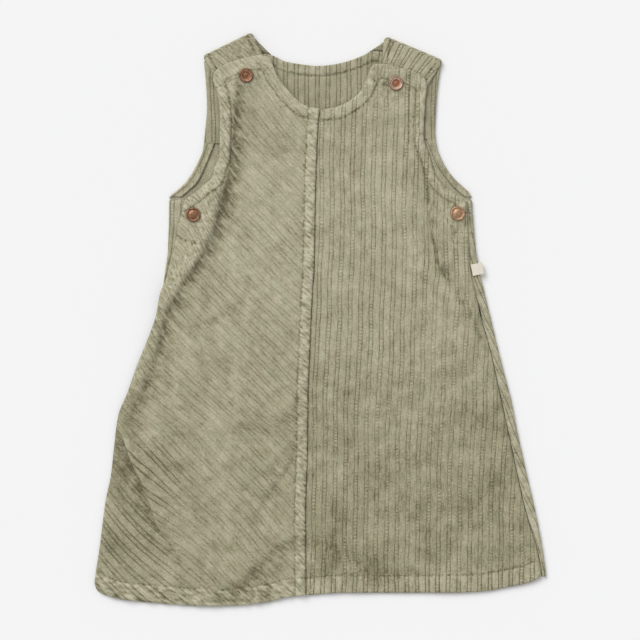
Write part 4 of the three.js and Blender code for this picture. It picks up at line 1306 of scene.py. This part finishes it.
for snap_name, sx, sy in zip(SNAP_NAMES, SNAPS["x"], SNAPS["y"]):
    profile = SHOULDER_CAP if snap_name.startswith("shoulder") else SIDE_CAP
    cap = lathe(profile, sx, sy, front_top(sx, sy) + GAP)
    new_piece(f"{snap_name}_cap", cap, SNAP_FINISH[snap_name], snap_name)
for key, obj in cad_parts.items():
    if "stud" in key:
        obj.data.materials.clear()
        obj.data.materials.append(left_copper)

# %% [markdown]
# ## The seam label
#
# A plain woven tape, folded double and caught in the side seam. It is left blank.

# %% Label
def woven_tape(name, colour, shade):
    """Cotton tape in plain weave, with threads about 0.5 mm apart, drawn coarser than real ones."""
    material, tree, shader = new_material(name)
    place = node(tree, UV, uv_map="wales")
    warp, weft = (
        node(tree, "ShaderNodeTexWave", {"Vector": place, "Scale": 600.0}, out="Fac", bands_direction=axis)
        for axis in "XY"
    )
    weave = node(tree, MATH, {0: warp, 1: weft}, operation="MULTIPLY")
    ramp = node(tree, RAMP, {"Fac": weave})
    stops = ramp.node.color_ramp.elements
    stops[0].color = linear(shade)
    stops[1].position, stops[1].color = 0.5, linear(colour)
    bump = node(tree, BUMP, {"Height": weave, "Strength": 0.3, "Distance": 0.0002})
    plug(tree, shader, {"Base Color": ramp, "Normal": bump, "Roughness": 0.9})
    return material


TAPE, TAPE_FOLD = 0.28, 0.4  # the tape's thickness, and its fold's radius at mid-tape


def label_shell(width, length, turn, x, y, z):
    """A folded tape: a flat loop whose outer end is the fold, half a circle, and whose two leaves
    come together at the seam. v runs round the loop, and u along the fold. It sinks a little towards
    the fold, and its middle is drawn in."""
    u, v = np.meshgrid(np.linspace(0, 1, 25), np.linspace(0, 1, 60))
    half, round_fold = width - TAPE_FOLD, np.pi * TAPE_FOLD
    path = v * (2 * half + round_fold)
    angle = np.clip((path - half) / TAPE_FOLD, 0, np.pi)
    back = np.maximum(path - half - round_fold, 0)
    out = np.where(path < half, path, half + TAPE_FOLD * np.sin(angle) - back)
    up = TAPE_FOLD * (1 - np.cos(angle)) - 0.6 * (out / width) ** 2
    across = (u - 0.5) * (length - 0.35 * np.sin(np.pi * out / width))
    c, s = np.cos(np.radians(turn)), np.sin(np.radians(turn))
    local_x = out - width / 2
    mid = np.stack([x + c * local_x - s * across, y + s * local_x + c * across, z + up], -1).reshape(-1, 3)
    triangles = grid_faces(np.arange(u.size).reshape(u.shape))
    offset = normals_of(mid, triangles) * TAPE / 2
    wales = np.stack([across.ravel(), path.ravel()], -1)
    return *close_wall(mid + offset, mid - offset, triangles), *both_faces(wales, marks(np.ones(len(mid))))


cream_tape = woven_tape("cream_cotton_tape", "f3eee0", "d8d0bc")
sheet = (0.0108, 0.0216, "folded", ["back_panel"])
label_loop = label_shell(10.5, 10.6, 12, 141.4, 45.6, 5.0)
new_piece("seam_label_tape", label_loop, cream_tape, "seam_label", sheet)

# %% [markdown]
# ## Floor, light and camera
#
# A pale floor, soft light as from a wide window at the upper left, and a white world that fills the
# shadows, as in a shop's flat-lay. The camera looks straight down from far away through a long lens.

# %% The stage
floor_mesh = bpy.data.meshes.new("floor")
floor_mesh.from_pydata([(-4, -4, 0), (4, -4, 0), (4, 4, 0), (-4, 4, 0)], [], [(0, 1, 2, 3)])
floor = bpy.data.objects.new("floor", floor_mesh)
bpy.context.collection.objects.link(floor)
paper, paper_tree, paper_shader = new_material("white_paper")
plug(paper_tree, paper_shader, {"Base Color": linear("f8f8f9"), "Roughness": 0.9, "Specular IOR Level": 0.0})
floor_mesh.materials.append(paper)

scene = bpy.context.scene
scene.view_settings.view_transform = "Standard"
world = bpy.data.worlds.new("studio")
world.use_nodes = True
plug(world.node_tree, world.node_tree.nodes["Background"], {"Color": (1, 1, 1, 1), "Strength": 0.55})
scene.world = world

sun_data = bpy.data.lights.new("window_light", "SUN")
sun_data.energy, sun_data.angle = 1.9, np.radians(38)
sun = bpy.data.objects.new("window_light", sun_data)
sun.rotation_euler = (0, np.radians(-46), np.radians(-52))
bpy.context.collection.objects.link(sun)

camera_data = bpy.data.cameras.new("camera")
camera_data.lens, camera_data.sensor_width = 125, 36
camera = bpy.data.objects.new("camera", camera_data)
camera.location = (0, 0, 2.0)
bpy.context.collection.objects.link(camera)
scene.camera = camera
print("camera in metres above the floor:", round(camera.location.z, 2), "lens in mm:", camera_data.lens)
